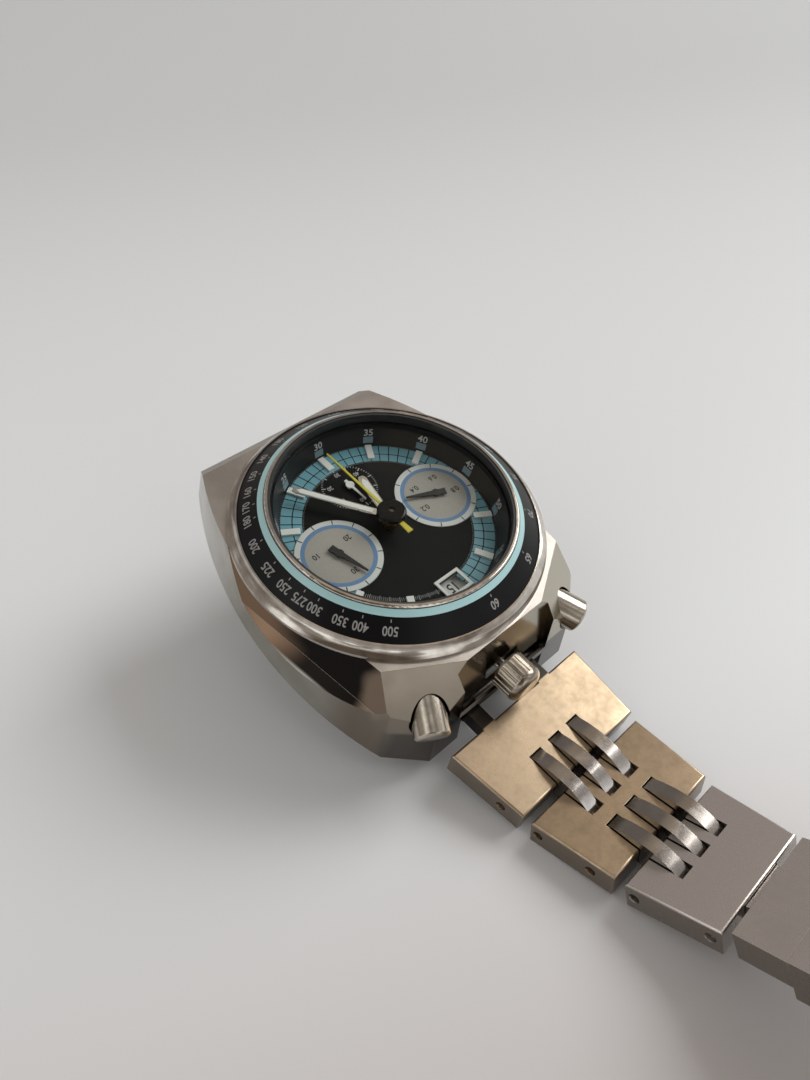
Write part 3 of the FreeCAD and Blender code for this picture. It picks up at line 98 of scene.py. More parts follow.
insert_outer = 18.0
insert_foot = 1.9
insert_slope = math.radians(38.7)
flange_foot = (13.2, 0.35)
flange_head = (13.9, 2.95)
flange_square = (0.06, 0.38)
flange_type = (0.95, 0.62)
check_rows = ((10.45, 11.55), (11.68, 13.0))
check_spread = 5.35
seconds_tick = (10.72, 11.15)
seconds_block = (10.62, 11.3)
outer_fifths = (13.05, 13.18)
inner_fifths = (10.2, 10.38)
black_sector = (8.0, 62.0)
subdial_top = 0.12
subdial_radius = 5.2
counter_rings = (3.98, 4.5)
counter_type = (0.78, 2.75)
lower_radius = 3.55
lower_type = (0.62, lower_radius - 1.1)
date_type = (1.35, 11.1)
insert_ring = (15.06, 15.72)
insert_tick = (15.95, 16.2)
insert_type = (1.08, 16.92)
ink = 0.012
inlay_thick = 0.05
minute_clock = 146.4
hour_clock = 192.2

centre_nine = dial_point("counter_nine_turn")
centre_three = dial_point("counter_three_turn")
centre_lower = dial_point("seconds_turn")


def insert_level(radius):
    """Height of the insert's cone at a radius."""
    return insert_foot + (insert_outer - radius) * math.tan(insert_slope)


# ---------------------------------------------------------------- meshes

class Stock:
    """Points and faces gathered from many small solids, made into one piece."""

    def __init__(self):
        self.points = []
        self.faces = []
        self.count = 0

    def add(self, points, faces):
        points = np.asarray(points, float).reshape(-1, 3)
        self.points.append(points)
        self.faces += [tuple(corner + self.count for corner in face) for face in faces]
        self.count += len(points)

    def make(self, name, finish, body):
        mesh = bpy.data.meshes.new(name)
        mesh.from_pydata(from_dial(np.concatenate(self.points)).tolist(), [], self.faces)
        mesh.validate()
        piece(name, mesh, finish, body)


def piece(name, mesh, finish, body):
    """An object of the watch that rides on a body and wears the finish it is given."""
    thing = bpy.data.objects.new(name, mesh)
    scene.collection.objects.link(thing)
    mesh.materials.clear()
    mesh.materials.append(finish)
    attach(thing, body)
    return thing


def polar_points(radius, clock, level, centre=(0.0, 0.0)):
    """Points at a clock angle: x = r sin(a), y = r cos(a), about a centre, at a level."""
    turn = np.radians(clock)
    radius, turn, level = np.broadcast_arrays(radius, turn, level)
    return np.stack([centre[0] + radius * np.sin(turn), centre[1] + radius * np.cos(turn),
                     level + 0.0 * turn], axis=-1)


def ring_faces(count, steps, corners, closed):
    """Quads between the cross-sections of `count` strips, and caps where they don't close."""
    rows = steps if closed else steps + 1
    block = np.arange(count)[:, None, None] * rows * corners
    step = np.arange(steps)[None, :, None]
    corner = np.arange(corners)[None, None, :]
    ahead = (step + 1) % rows
    beside = (corner + 1) % corners
    quads = np.stack([block + step * corners + corner, block + step * corners + beside,
                      block + ahead * corners + beside, block + ahead * corners + corner], axis=-1)
    faces = [tuple(face) for face in quads.reshape(-1, 4).tolist()]
    if not closed:
        caps = np.arange(corners)
        for start in (np.arange(count) * rows * corners).tolist():
            faces.append(tuple((start + caps[::-1]).tolist()))
            faces.append(tuple((start + steps * corners + caps).tolist()))
    return faces


def sectors(stock, inner, outer, middles, spread, low, high, steps=1, centre=(0.0, 0.0)):
    """Flat ring sectors: the rectangle from inner to outer radius and from low to high, which may
    be functions of the radius, carried through `spread` degrees about each middle angle."""
    level_of = [level if callable(level) else (lambda radius, fixed=level: fixed)
                for level in (low, high)]
    radius = np.array([inner, outer, outer, inner], float)
    level = np.array([level_of[0](inner), level_of[0](outer), level_of[1](outer),
                      level_of[1](inner)])
    middles = np.atleast_1d(np.asarray(middles, float))
    closed = spread >= 360
    rows = steps if closed else steps + 1
    turn = middles[:, None] + np.linspace(-0.5, 0.5, steps + 1)[None, :rows] * spread
    points = polar_points(radius[None, None, :], turn[:, :, None], level[None, None, :], centre)
    stock.add(points, ring_faces(len(middles), steps, 4, closed))


def prism(stock, outline, low, high, place):
    """A flat plate: an outline in x and y, given anticlockwise, between two levels, then moved
    by the function `place`."""
    outline = np.asarray(outline, float)
    count = len(outline)
    points = place(np.concatenate([np.column_stack([outline, np.full(count, level)])
                                   for level in (low, high)]))
    around = np.arange(count)
    ahead = (around + 1) % count
    sides = np.stack([around, ahead, ahead + count, around + count], axis=-1).tolist()
    stock.add(points, [tuple(side) for side in sides]
              + [tuple(range(count - 1, -1, -1)), tuple(range(count, 2 * count))])


TYPE_BOLD = 0.016
type_cache = {}


def type_shape(text, squeeze):
    """A line of type one unit high, centred on the origin, as points and faces."""
    if (text, squeeze) not in type_cache:
        curve = bpy.data.curves.new("type", "FONT")
        curve.body = text
        curve.align_x = "CENTER"
        curve.resolution_u = 3
        curve.extrude = 0.5
        curve.offset = TYPE_BOLD
        holder = bpy.data.objects.new("type", curve)
        mesh = bpy.data.meshes.new_from_object(holder)
        points = np.zeros(len(mesh.vertices) * 3)
        mesh.vertices.foreach_get("co", points)
        points = points.reshape(-1, 3)
        faces = [tuple(face.vertices) for face in mesh.polygons]
        bpy.data.objects.remove(holder)
        bpy.data.meshes.remove(mesh)
        bpy.data.curves.remove(curve)
        low, high = points.min(0), points.max(0)
        points[:, 1] = (points[:, 1] - (low[1] + high[1]) / 2) / (high[1] - low[1])
        points[:, 0] = (points[:, 0] - (low[0] + high[0]) / 2) / (high[1] - low[1]) * squeeze
        type_cache[text, squeeze] = (points, faces)
    return type_cache[text, squeeze]


def type_round(stock, text, height, radius, clock, level, slope=0.0, centre=(0.0, 0.0),
               upright=False, squeeze=0.9):
    """Type on a cone round a centre: its top points outwards, or to 12 o'clock if upright.
    The slope is the rise of the cone per unit of radius."""
    points, faces = type_shape(text, squeeze)
    turn = math.radians(clock)
    lift = math.atan(slope)
    outward = np.array([math.sin(turn), math.cos(turn), 0.0])
    top = outward * math.cos(lift) + np.array([0.0, 0.0, math.sin(lift)])
    along = np.array([math.cos(turn), -math.sin(turn), 0.0])
    if upright:
        along, top = np.array([1.0, 0.0, 0.0]), np.array([0.0, 1.0, 0.0])
    normal = np.cross(along, top)
    anchor = polar_points(radius, clock, level, centre)
    shaped = points * np.array([height, height, ink])
    stock.add(anchor + shaped @ np.array([along, top, normal]) + normal * ink / 2, faces)


MERGE_GAP = 0.0002 * MM
FLAT_DEGREES = 0.6
BIG_FACE_WEIGHT = 80


def edged(node, width, finish, sharp=32.0, segments=2, crease=32.0):
    """A copy of a CAD node's solid with its sharp edges broken, which stands for that node.
    Edges between the crease angle and the sharp one stay crisp, without a bevel. The width is
    in millimetres and the angles are in degrees."""
    source = nodes[node]
    shape = bmesh.new()
    shape.from_mesh(source.data)
    bmesh.ops.remove_doubles(shape, verts=shape.verts, dist=MERGE_GAP)
    bmesh.ops.dissolve_limit(shape, angle_limit=math.radians(FLAT_DEGREES), verts=shape.verts,
                             edges=shape.edges)
    for face in shape.faces:
        face.smooth = True
    for edge in shape.edges:
        edge.smooth = not crease < math.degrees(edge.calc_face_angle(0.0)) < sharp
    mesh = bpy.data.meshes.new(node + "_edged")
    shape.to_mesh(mesh)
    shape.free()
    thing = piece(node + "_edged", mesh, finish, source["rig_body"])
    bevel = thing.modifiers.new("edge_break", "BEVEL")
    bevel.width = width * MM
    bevel.segments = segments
    bevel.limit_method = "ANGLE"
    bevel.angle_limit = math.radians(sharp)
    bevel.use_clamp_overlap = True
    flat = thing.modifiers.new("flat_faces", "WEIGHTED_NORMAL")
    flat.weight = BIG_FACE_WEIGHT
    flat.keep_sharp = True
    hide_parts(node)


# ---------------------------------------------------------------- materials

BUMP_DISTANCE = 0.05 * MM


class Wire:
    """A node output that takes part in sums; each operator adds a Math node, also where the wire
    comes second."""

    def __init__(self, finish, socket):
        self.finish = finish
        self.socket = socket

    def maths(self, operation, *others):
        return self.finish.node("ShaderNodeMath", {"operation": operation}, self, *others)

    def __add__(self, other):
        return self.maths("ADD", other)

    __radd__ = __add__

    def __sub__(self, other):
        return self.maths("SUBTRACT", other)

    def __rsub__(self, other):
        return self.finish.node("ShaderNodeMath", {"operation": "SUBTRACT"}, other, self)

    def __mul__(self, other):
        return self.maths("MULTIPLY", other)

    __rmul__ = __mul__

    def absolute(self):
        return self.maths("ABSOLUTE")

    def clamped(self):
        return self.finish.node("ShaderNodeClamp", {}, self)


class Finish:
    """A procedural material: nodes are added by type, settings and inputs."""

    material = None

    def __init__(self, name):
        self.material = bpy.data.materials.new(name)
        self.material.use_nodes = True
        self.tree = self.material.node_tree
        self.tree.nodes.clear()
        self.sink = self.tree.nodes.new("ShaderNodeOutputMaterial")

    def raw(self, kind, settings, *inputs, **named):
        """The node itself: settings first, then inputs by place or by name."""
        made = self.tree.nodes.new(kind)
        for key, setting in settings.items():
            setattr(made, key, setting)
        for place, value in list(enumerate(inputs)) + [(name.replace("_", " "), value)
                                                       for name, value in named.items()]:
            socket = made.inputs[place]
            if isinstance(value, Wire):
                self.tree.links.new(value.socket, socket)
            else:
                socket.default_value = value
        return made

    def node(self, kind, settings, *inputs, **named):
        return Wire(self, self.raw(kind, settings, *inputs, **named).outputs[0])

    def place(self):
        """Object coordinates in millimetres."""
        where = self.raw("ShaderNodeTexCoord", {}).outputs["Object"]
        return self.node("ShaderNodeVectorMath", {"operation": "SCALE"}, Wire(self, where),
                         Scale=1000.0)

    def facing(self, kind="Normal"):
        """The surface normal, or the flat face's own with the kind True Normal."""
        return Wire(self, self.raw("ShaderNodeNewGeometry", {}).outputs[kind])

    def along(self, vector, direction, start=(0.0, 0.0, 0.0)):
        """Distance of a point from a start along a direction."""
        moved = self.node("ShaderNodeVectorMath", {"operation": "SUBTRACT"}, vector, start)
        made = self.raw("ShaderNodeVectorMath", {"operation": "DOT_PRODUCT"}, moved,
                        tuple(direction))
        return Wire(self, made.outputs["Value"])

    def stretched(self, vector, scales):
        return self.node("ShaderNodeVectorMath", {"operation": "MULTIPLY"}, vector, scales)

    def noise(self, vector, scale, detail=3.0, roughness=0.5):
        return self.node("ShaderNodeTexNoise", {"noise_dimensions": "3D"}, Vector=vector,
                         Scale=scale, Detail=detail, Roughness=roughness)

    def ramp(self, value, low, high, out_low=0.0, out_high=1.0):
        """A smooth step from one number to another as the value goes from low to high."""
        return self.node("ShaderNodeMapRange", {"interpolation_type": "SMOOTHSTEP"}, value, low,
                         high, out_low, out_high)

    def blend(self, factor, first, second):
        """A colour between two colours."""
        made = self.tree.nodes.new("ShaderNodeMix")
        made.data_type = "RGBA"
        for socket, value in ((made.inputs[0], factor), (made.inputs[6], first),
                              (made.inputs[7], second)):
            if isinstance(value, Wire):
                self.tree.links.new(value.socket, socket)
            else:
                socket.default_value = value if isinstance(value, float) else (*value, 1.0)
        return Wire(self, made.outputs[2])

    def bump(self, height, strength):
        return self.node("ShaderNodeBump", {}, Strength=strength, Distance=BUMP_DISTANCE,
                         Height=height)

    def principled(self, colour, **named):
        colour = colour if isinstance(colour, Wire) else (*colour, 1.0)
        return self.node("ShaderNodeBsdfPrincipled", {}, Base_Color=colour, **named)

    def done(self, shader):
        self.tree.links.new(shader.socket, self.sink.inputs["Surface"])
        return self.material


def smudges(finish, where, scale=0.35):
    """Broad uneven wear, between 0 and 1."""
    return finish.ramp(finish.noise(where, scale, 4.0), 0.35, 0.68)


def brushed(name, colour, worn, grain, rough=0.3, depth=0.25, painted_flank_shade=None, painted_hook_shade=None):
    """Brushed steel: fine lines along one direction, uneven wear and a few scratches. Faces that
    don't look up may take a darker colour as painted shade, and what lies near a joint a near
    black painted shade."""
    finish = Finish(name)
    where = finish.place()
    lines = finish.noise(finish.stretched(where, grain), 1.0, 2.0, 0.6)
    fine = finish.noise(where, 6.0, 3.0)
    wear = (smudges(finish, where) * 0.55 + smudges(finish, where, 1.3) * 0.45).clamped()
    scuffs = finish.ramp(finish.noise(finish.stretched(where, (0.9, 0.35, 0.6)), 3.2, 6.0, 0.75),
                         0.60, 0.72)
    tone = finish.blend((wear * 0.75 + lines * 0.25).clamped(), colour, worn)
    if painted_flank_shade:
        # painted shade: faces that don't look up, such as the link sides, take the darker flank
        # colour
        upward = finish.ramp(finish.along(finish.facing(), dial_up), 0.25, 0.75)
        tone = finish.blend(upward, painted_flank_shade, tone)
    if painted_hook_shade:
        # painted shade: near black within the reach of the hinge on the case, where link one lies
        # in the gap under the case's end
        joint, ahead, reach = painted_hook_shade
        start = np.array(joints[joint]["pos_m"])
        run = np.array(joints[ahead]["pos_m"]) - start
        clear = finish.ramp(finish.along(where, run / np.linalg.norm(run), tuple(start / MM)),
                            reach - 0.1, reach + 0.1)
        tone = finish.blend(clear, HOOK_SHADE, tone)
    gloss = (lines - 0.5) * 0.16 + (fine - 0.5) * 0.10 + wear * 0.07 + scuffs * 0.035 + rough
    relief = finish.bump(lines * 0.6 + fine * 0.25 - scuffs * 0.3, depth)
    return finish.done(finish.principled(tone, Metallic=1.0, Roughness=gloss, Normal=relief))


def polished(name, colour, shade, rough):
    """Polished steel with faint haze and hairline marks."""
    finish = Finish(name)
    where = finish.place()
    haze = smudges(finish, where, 0.5)
    hair = finish.noise(finish.stretched(where, (1.0, 5.0, 2.0)), 4.0, 5.0, 0.7)
    tone = finish.blend(haze, colour, shade)
    gloss = haze * 0.05 + finish.ramp(hair, 0.5, 0.75) * 0.07 + rough
    relief = finish.bump(hair, 0.05)
    return finish.done(finish.principled(tone, Metallic=1.0, Roughness=gloss, Normal=relief))


def claw_steel():
    """The claws: polished, with a painted reflection that is darker on their backs and light where
    they turn down at the front, and a near black painted shade at their side ends.
    """
    finish = Finish("claw_steel")
    where = finish.place()
    haze = smudges(finish, where, 0.6)
    hair = finish.noise(finish.stretched(where, (6.0, 1.2, 2.0)), 1.5, 4.0, 0.7)
    # painted reflection: faces turned towards 12 o'clock are light, the backs dark
    front = finish.ramp(finish.along(finish.facing(), dial_along) + (hair - 0.5) * 0.35, 0.0, 0.55)
    tone = finish.blend(front, (0.30, 0.275, 0.25), (0.74, 0.71, 0.70))
    tone = finish.blend(haze * 0.5, tone, (0.36, 0.335, 0.31))
    # painted shade: near black on the side ends, 6.2 to 6.6 mm and more either side of the middle,
    # where the claws sit in the links' slots
    tip = finish.ramp(finish.along(where, dial_across).absolute(), 6.2, 6.6)
    tone = finish.blend(tip, tone, (0.03, 0.028, 0.025))
    gloss = haze * 0.06 + finish.ramp(hair, 0.5, 0.75) * 0.08 + tip * 0.3 + 0.14
    return finish.done(finish.principled(tone, Metallic=1.0, Roughness=gloss,
                                         Normal=finish.bump(hair, 0.05)))


def painted(name, colour, shade, rough=0.4, grain=(8.0, 8.0, 8.0), depth=0.1, coat=0.0,
            shine=0.5):
    """Printed or lacquered surface with a fine tooth."""
    finish = Finish(name)
    where = finish.place()
    tooth = finish.noise(finish.stretched(where, grain), 1.0, 4.0, 0.6)
    tone = finish.blend(tooth, colour, shade)
    gloss = (tooth - 0.5) * 0.2 + rough
    return finish.done(finish.principled(tone, Roughness=gloss, Normal=finish.bump(tooth, depth),
                                         Specular_IOR_Level=shine, Coat_Weight=coat,
                                         Coat_Roughness=0.08))


def case_steel():
    """The case: brushed on top, mirror facets on the flanks with a painted reflection, satin sides
    with a painted shade on the 12 o'clock shoulders, and a painted shade in the 12 o'clock bay.
    """
    finish = Finish("case_steel")
    where = finish.place()
    facing = finish.facing("True Normal")
    rise = finish.along(facing, dial_up)
    side = finish.along(facing, dial_across).absolute()
    from_centre = finish.node("ShaderNodeVectorMath", {"operation": "SUBTRACT"}, where,
                              tuple(dial_centre / MM))
    across = finish.along(from_centre, dial_across)
    forward = finish.along(from_centre, dial_along)
    height = finish.along(from_centre, dial_up)
    top = finish.ramp(rise, 0.72, 0.86)
    mirror = finish.ramp(rise, 0.16, 0.22) * finish.ramp(side, 0.58, 0.66) \
        * finish.ramp(height, -6.1, -5.6)
    lines = finish.noise(finish.stretched(where, (32.0, 1.4, 32.0)), 1.0, 2.0, 0.6)
    wear = smudges(finish, where, 0.28)
    cloud = finish.noise(finish.stretched(where, (0.06, 0.06, 0.16)), 1.0, 2.0, 0.4)
    satin = finish.blend((wear * 0.6 + lines * 0.4).clamped(), (0.47, 0.44, 0.405),
                         (0.58, 0.545, 0.505))
    sides = finish.blend(wear, (0.44, 0.42, 0.38), (0.38, 0.36, 0.32))
    # painted shade: the 12 o'clock shoulders darken and brown towards 3 o'clock
    warm = finish.blend(finish.ramp(across, -6.0, 8.0), (0.40, 0.37, 0.305), (0.25, 0.215, 0.175))
    sides = finish.blend(finish.ramp(forward, 9.0, 14.5), sides, warm)
    # painted reflection on the mirror facets, in bands along the case: light grey at the 6 o'clock
    # end, bronze, near black, then brown towards 12 o'clock; the cloud noise makes the band edges
    # wander
    run = forward + (cloud - 0.5) * 9.0
    dark = finish.blend(finish.ramp(run, 0.5, 6.0), (0.20, 0.13, 0.085), (0.012, 0.010, 0.009))
    dark = finish.blend(finish.ramp(run, -12.5, -9.0), (0.66, 0.645, 0.60), dark)
    dark = finish.blend(finish.ramp(run, 13.0, 15.0), dark, (0.20, 0.15, 0.11))
    # painted shade: near black low in the bay at the 12 o'clock end, under the case's lip
    shaded = finish.ramp(forward, 17.0, 19.0) * (1.0 - finish.ramp(height, -7.4, -6.6))
    tone = finish.blend(mirror, finish.blend(top, sides, satin), dark)
    tone = finish.blend(shaded, tone, (0.10, 0.09, 0.08))
    gloss = top * 0.16 + (lines - 0.5) * top * 0.12 + wear * 0.06 + 0.13
    gloss = gloss * (1.0 - mirror * 0.65)
    relief = finish.bump(lines * top, 0.06)
    return finish.done(finish.principled(tone, Metallic=1.0, Roughness=gloss, Normal=relief))


def clear_glass():
    """Clear crystal: it lets light straight through and reflects by the Fresnel law."""
    finish = Finish("crystal_glass")
    where = finish.place()
    dust = finish.ramp(finish.noise(where, 1.4, 5.0, 0.7), 0.55, 0.8)
    shine = finish.node("ShaderNodeBsdfGlossy", {}, (1.0, 1.0, 1.0, 1.0), dust * 0.05 + 0.01)
    through = finish.node("ShaderNodeBsdfTransparent", {}, (0.97, 0.985, 0.98, 1.0))
    mirror = finish.node("ShaderNodeFresnel", {}, 1.45)
    return finish.done(finish.node("ShaderNodeMixShader", {}, mirror * 0.02 + dust * 0.001,
                                   through, shine))


# Link one carries a near black painted shade this many millimetres along from its hinge on the
# case, where it lies in the shaded gap under the case's end.
HOOK_REACH = 3.8
HOOK_SHADE = (0.045, 0.04, 0.035)
GRAIN_LONG = (30.0, 1.6, 30.0)
# The bracelet is one steel; the warm copy is browner and darker, a painted warm reflection, for
# links one and two and the hidden links one and two. In both, the flank colour is a painted shade
# on faces that don't look up.
WARM_LIT_STEEL = {"colour": (0.56, 0.44, 0.305), "worn": (0.34, 0.265, 0.18), "grain": GRAIN_LONG,
              "rough": 0.29, "depth": 0.07, "painted_flank_shade": (0.27, 0.23, 0.185)}
GREY_STEEL = {"colour": (0.70, 0.655, 0.62), "worn": (0.60, 0.56, 0.53), "grain": GRAIN_LONG,
              "rough": 0.27, "depth": 0.06, "painted_flank_shade": (0.30, 0.27, 0.24)}

case_finish = case_steel()
bezel_finish = polished("bezel_steel", (0.60, 0.57, 0.525), (0.42, 0.39, 0.35), 0.06)
bright_finish = polished("bright_steel", (0.74, 0.72, 0.70), (0.62, 0.60, 0.58), 0.08)
claw_finish = claw_steel()
# bracelet steel with a painted warm reflection; the second copy also has a painted shade near its
# hinge on the case
warm_reflection_finish = brushed("bracelet_warm_reflection", **WARM_LIT_STEEL)
first_finish = brushed("bracelet_first", painted_hook_shade=("lug_twelve", "links_one_two", HOOK_REACH),
                       **WARM_LIT_STEEL)
grey_finish = brushed("bracelet_grey", **GREY_STEEL)
pusher_finish = brushed("pusher_steel", (0.55, 0.505, 0.43), (0.36, 0.325, 0.27), (9.0, 2.0, 9.0),
                        0.16, 0.1)
crown_finish = polished("crown_steel", (0.43, 0.385, 0.32), (0.30, 0.265, 0.215), 0.2)
# the pins are darkened with a painted shade, as they sit deep in their holes in the link sides
pin_shaded_finish = polished("pin_steel", (0.17, 0.155, 0.14), (0.09, 0.08, 0.075), 0.3)
dial_finish = painted("dial_black", (0.003, 0.003, 0.003), (0.007, 0.007, 0.007), 0.55,
                      (20.0, 2.0, 20.0), 0.12, shine=0.14)
insert_finish = painted("insert_black", (0.003, 0.003, 0.004), (0.007, 0.007, 0.008), 0.34,
                        (6.0, 6.0, 6.0), 0.06, shine=0.2)
flange_finish = painted("flange_black", (0.005, 0.005, 0.005), (0.010, 0.010, 0.010), 0.4,
                        shine=0.2)
silver_finish = painted("counter_silver", (0.60, 0.62, 0.60), (0.66, 0.68, 0.655), 0.34)
warm_grey = painted("counter_centre", (0.33, 0.315, 0.285), (0.42, 0.40, 0.365), 0.3,
                    (12.0, 1.5, 12.0), 0.1)
blue_ink = painted("blue_ink", (0.115, 0.22, 0.40), (0.15, 0.27, 0.45), 0.35)
check_ink = painted("check_blue", (0.14, 0.34, 0.42), (0.19, 0.42, 0.50), 0.34)
pale_blue = painted("pale_blue_ink", (0.40, 0.68, 0.71), (0.47, 0.74, 0.77), 0.3, coat=0.2)
slate_ink = painted("slate_ink", (0.13, 0.21, 0.25), (0.17, 0.26, 0.31), 0.4)
white_ink = painted("white_ink", (0.66, 0.67, 0.65), (0.74, 0.75, 0.73), 0.4)
grey_ink = painted("grey_ink", (0.40, 0.40, 0.40), (0.48, 0.48, 0.47), 0.4)
dim_ink = painted("dim_ink", (0.29, 0.29, 0.285), (0.36, 0.36, 0.35), 0.4)
black_ink = painted("black_ink", (0.012, 0.012, 0.012), (0.02, 0.02, 0.02), 0.35)
white_lacquer = painted("white_lacquer", (0.72, 0.73, 0.70), (0.80, 0.81, 0.78), 0.32, coat=0.4)
yellow_lacquer = painted("yellow_lacquer", (0.58, 0.50, 0.04), (0.66, 0.57, 0.06), 0.3, coat=0.4)
black_gloss = painted("black_gloss", (0.003, 0.003, 0.003), (0.006, 0.006, 0.006), 0.12,
                      shine=0.25)
black_rubber = painted("gasket_black", (0.02, 0.02, 0.02), (0.03, 0.03, 0.03), 0.55)
nickel = brushed("movement_nickel", (0.62, 0.57, 0.48), (0.52, 0.48, 0.40), (6.0, 1.0, 6.0), 0.3)
brass = brushed("wheel_brass", (0.76, 0.58, 0.26), (0.66, 0.49, 0.20), (5.0, 5.0, 5.0), 0.25)
copper = brushed("coil_copper", (0.72, 0.32, 0.16), (0.58, 0.24, 0.12), (30.0, 2.0, 2.0), 0.35)
cell_steel = brushed("battery_steel", (0.66, 0.66, 0.65), (0.58, 0.58, 0.57), (3.0, 3.0, 3.0), 0.3)
ring_plastic = painted("ring_plastic", (0.62, 0.61, 0.58), (0.68, 0.67, 0.64), 0.5)
glass_finish = clear_glass()

# ---------------------------------------------------------------- CAD nodes that keep their shape

FINISH_OF_SLOT = {
    "case_steel": case_finish, "polished_steel": bright_finish, "pin_steel": pin_shaded_finish,
    "bracelet_steel": grey_finish, "claw_steel": claw_finish, "insert_black": insert_finish,
    "crystal_glass": glass_finish, "gasket_black": black_rubber, "flange_black": flange_finish,
    "dial_black": dial_finish, "subdial_silver": warm_grey, "marker_white": white_lacquer,
    "hand_white": bright_finish, "hand_black": black_ink, "hand_yellow": yellow_lacquer,
    "hub_black": black_gloss, "date_white": white_ink, "movement_nickel": nickel,
    "battery_steel": cell_steel, "coil_copper": copper, "wheel_brass": brass,
    "ring_plastic": ring_plastic}
slot_of = {entry["node"]: entry["material_slot"] for entry in frame["record"]["subparts"]}
for name, thing in nodes.items():
    thing.data.materials.clear()
    thing.data.materials.append(FINISH_OF_SLOT[slot_of[name]])

CASE_BREAK = 0.13
PUSHER_BREAK = 0.1
LINK_BREAK = 0.09
CLAW_BREAK = 0.14

edged("case", CASE_BREAK, case_finish, sharp=24.0, crease=11.5)
nodes["bezel"].data.materials[0] = bezel_finish
nodes["crown"].data.materials[0] = crown_finish
for name in ("pusher_start", "pusher_reset"):
    edged(name, PUSHER_BREAK, pusher_finish, sharp=40.0)
edged("link_one", LINK_BREAK, first_finish)
for name in ("link_two", "hidden_link_one", "hidden_link_two"):
    edged(name, LINK_BREAK, warm_reflection_finish)
for name in ("link_three", "hidden_link_three", "clasp_end_link", "clasp_cover", "outer_blade",
             "inner_blade"):
    edged(name, LINK_BREAK, grey_finish)
for name in ("claws_one", "claws_two", "hidden_claws_one", "hidden_claws_two"):
    edged(name, CLAW_BREAK, claw_finish, sharp=40.0, segments=3)

# ---------------------------------------------------------------- dial print


def in_black_sector(clock):
    return (clock > black_sector[0]) & (clock < black_sector[1])


def make_track():
    """Two rows of checks, one for each minute, and grey ticks where the checks leave off."""
    checks = Stock()
    middles = np.arange(1, 59) * 6.0 + 3.0
    middles = middles[~in_black_sector(middles)]
    for inner, outer in check_rows:
        sectors(checks, inner, outer, middles, check_spread, 0.0, ink, 2)
    checks.make("dial_checks", check_ink, "head")
    ticks = Stock()
    fifths = np.arange(300) * 1.2
    beside_checks = fifths[~in_black_sector(fifths)]
    seconds = fifths[(fifths > black_sector[0]) & (fifths < 66.1)]
    for span, middles, width in ((outer_fifths, beside_checks, 0.16),
                                 (seconds_tick, seconds, 0.22),
                                 (seconds_block, np.arange(12.0, 66.0, 6.0), 0.36),
                                 (inner_fifths, beside_checks, 0.14)):
        sectors(ticks, *span, middles, width, 0.0, ink)
    ticks.make("dial_ticks", grey_ink, "head")


def make_flange_print():
    """Slate squares with a number at each five minutes on the sloping flange."""
    foot, foot_level = flange_foot
    run = flange_head[0] - foot
    slope = (flange_head[1] - foot_level) / run
    inner, outer = (foot + run * part - ink for part in flange_square)
    height, middle = flange_type[0], foot + run * flange_type[1]
    lift = 0.02

    def level(radius):
        return foot_level + (radius - foot) * slope

    squares = Stock()
    numbers = Stock()
    sectors(squares, inner, outer, np.arange(12) * 30.0, 5.6, level,
            lambda radius: level(radius + lift), 2)
    for hour in range(1, 13):
        type_round(numbers, str(hour * 5), height, middle - lift, hour * 30.0, level(middle),
                   slope, squeeze=1.0)
    squares.make("flange_squares", slate_ink, "head")
    numbers.make("flange_numbers", grey_ink, "head")


def make_counter(name, centre, ticks, numbers):
    """A side counter: silver ring with ticks, blue ring and numbers on the grained centre. The
    numbers are pairs of a text and its clock angle."""
    base = subdial_top
    inner, outer = counter_rings
    silver = Stock()
    sectors(silver, outer, subdial_radius - 0.03, 0.0, 360, base, base + ink, 72, centre)
    silver.make(name + "_ring", silver_finish, "head")
    blue = Stock()
    sectors(blue, inner, outer, 0.0, 360, base, base + ink, 72, centre)
    blue.make(name + "_blue", blue_ink, "head")
    marks = Stock()
    sectors(marks, outer + 0.05, subdial_radius - 0.05, np.arange(ticks) * 360.0 / ticks, 1.5,
            base + ink, base + 2 * ink, 1, centre)
    for text, clock in numbers:
        type_round(marks, text, *counter_type, clock, base, 0.0, centre, True)
    marks.make(name + "_marks", black_ink, "head")


def make_lower_counter():
    """The running seconds: grey ticks and numbers on the black dial."""
    marks = Stock()
    for count, length, width in ((12, 0.55, 2.6), (60, 0.25, 1.1)):
        sectors(marks, lower_radius - length, lower_radius, np.arange(count) * 360.0 / count,
                width, 0.0, ink, 1, centre_lower)
    for number in range(10, 61, 10):
        type_round(marks, str(number), *lower_type, number * 6.0, 0.0, 0.0, centre_lower, True)
    marks.make("lower_counter_marks", grey_ink, "head")


def make_date_numbers():
    """The days of the month round the date ring, the 15th in the window at 12 o'clock."""
    ring_low, ring_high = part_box("date_ring")
    middle = (np.array(ring_low) + np.array(ring_high)) / 2
    top = (dial_axes @ (middle - dial_centre))[2] / MM + 0.1
    days = Stock()
    for day in range(1, 32):
        type_round(days, str(day), *date_type, (15 - day) * 360.0 / 31, top, squeeze=0.8)
    days.make("date_numbers", black_ink, "date_ring")


make_track()
make_flange_print()
make_counter("counter_nine", centre_nine, 10,
             (("0.2", 72.0), ("0.4", 144.0), ("0.6", 216.0), ("0.8", 288.0)))
make_counter("counter_three", centre_three, 12, (("10", 120.0), ("20", 240.0), ("30", 0.0)))
make_lower_counter()
make_date_numbers()

# ---------------------------------------------------------------- bezel insert print

SPEEDS = (500, 400, 350, 300, 275, 250, 225, 200, 180, 170, 160, 150, 140, 130, 120, 110, 100,
          95, 90, 85, 80, 75, 70, 65, 60)


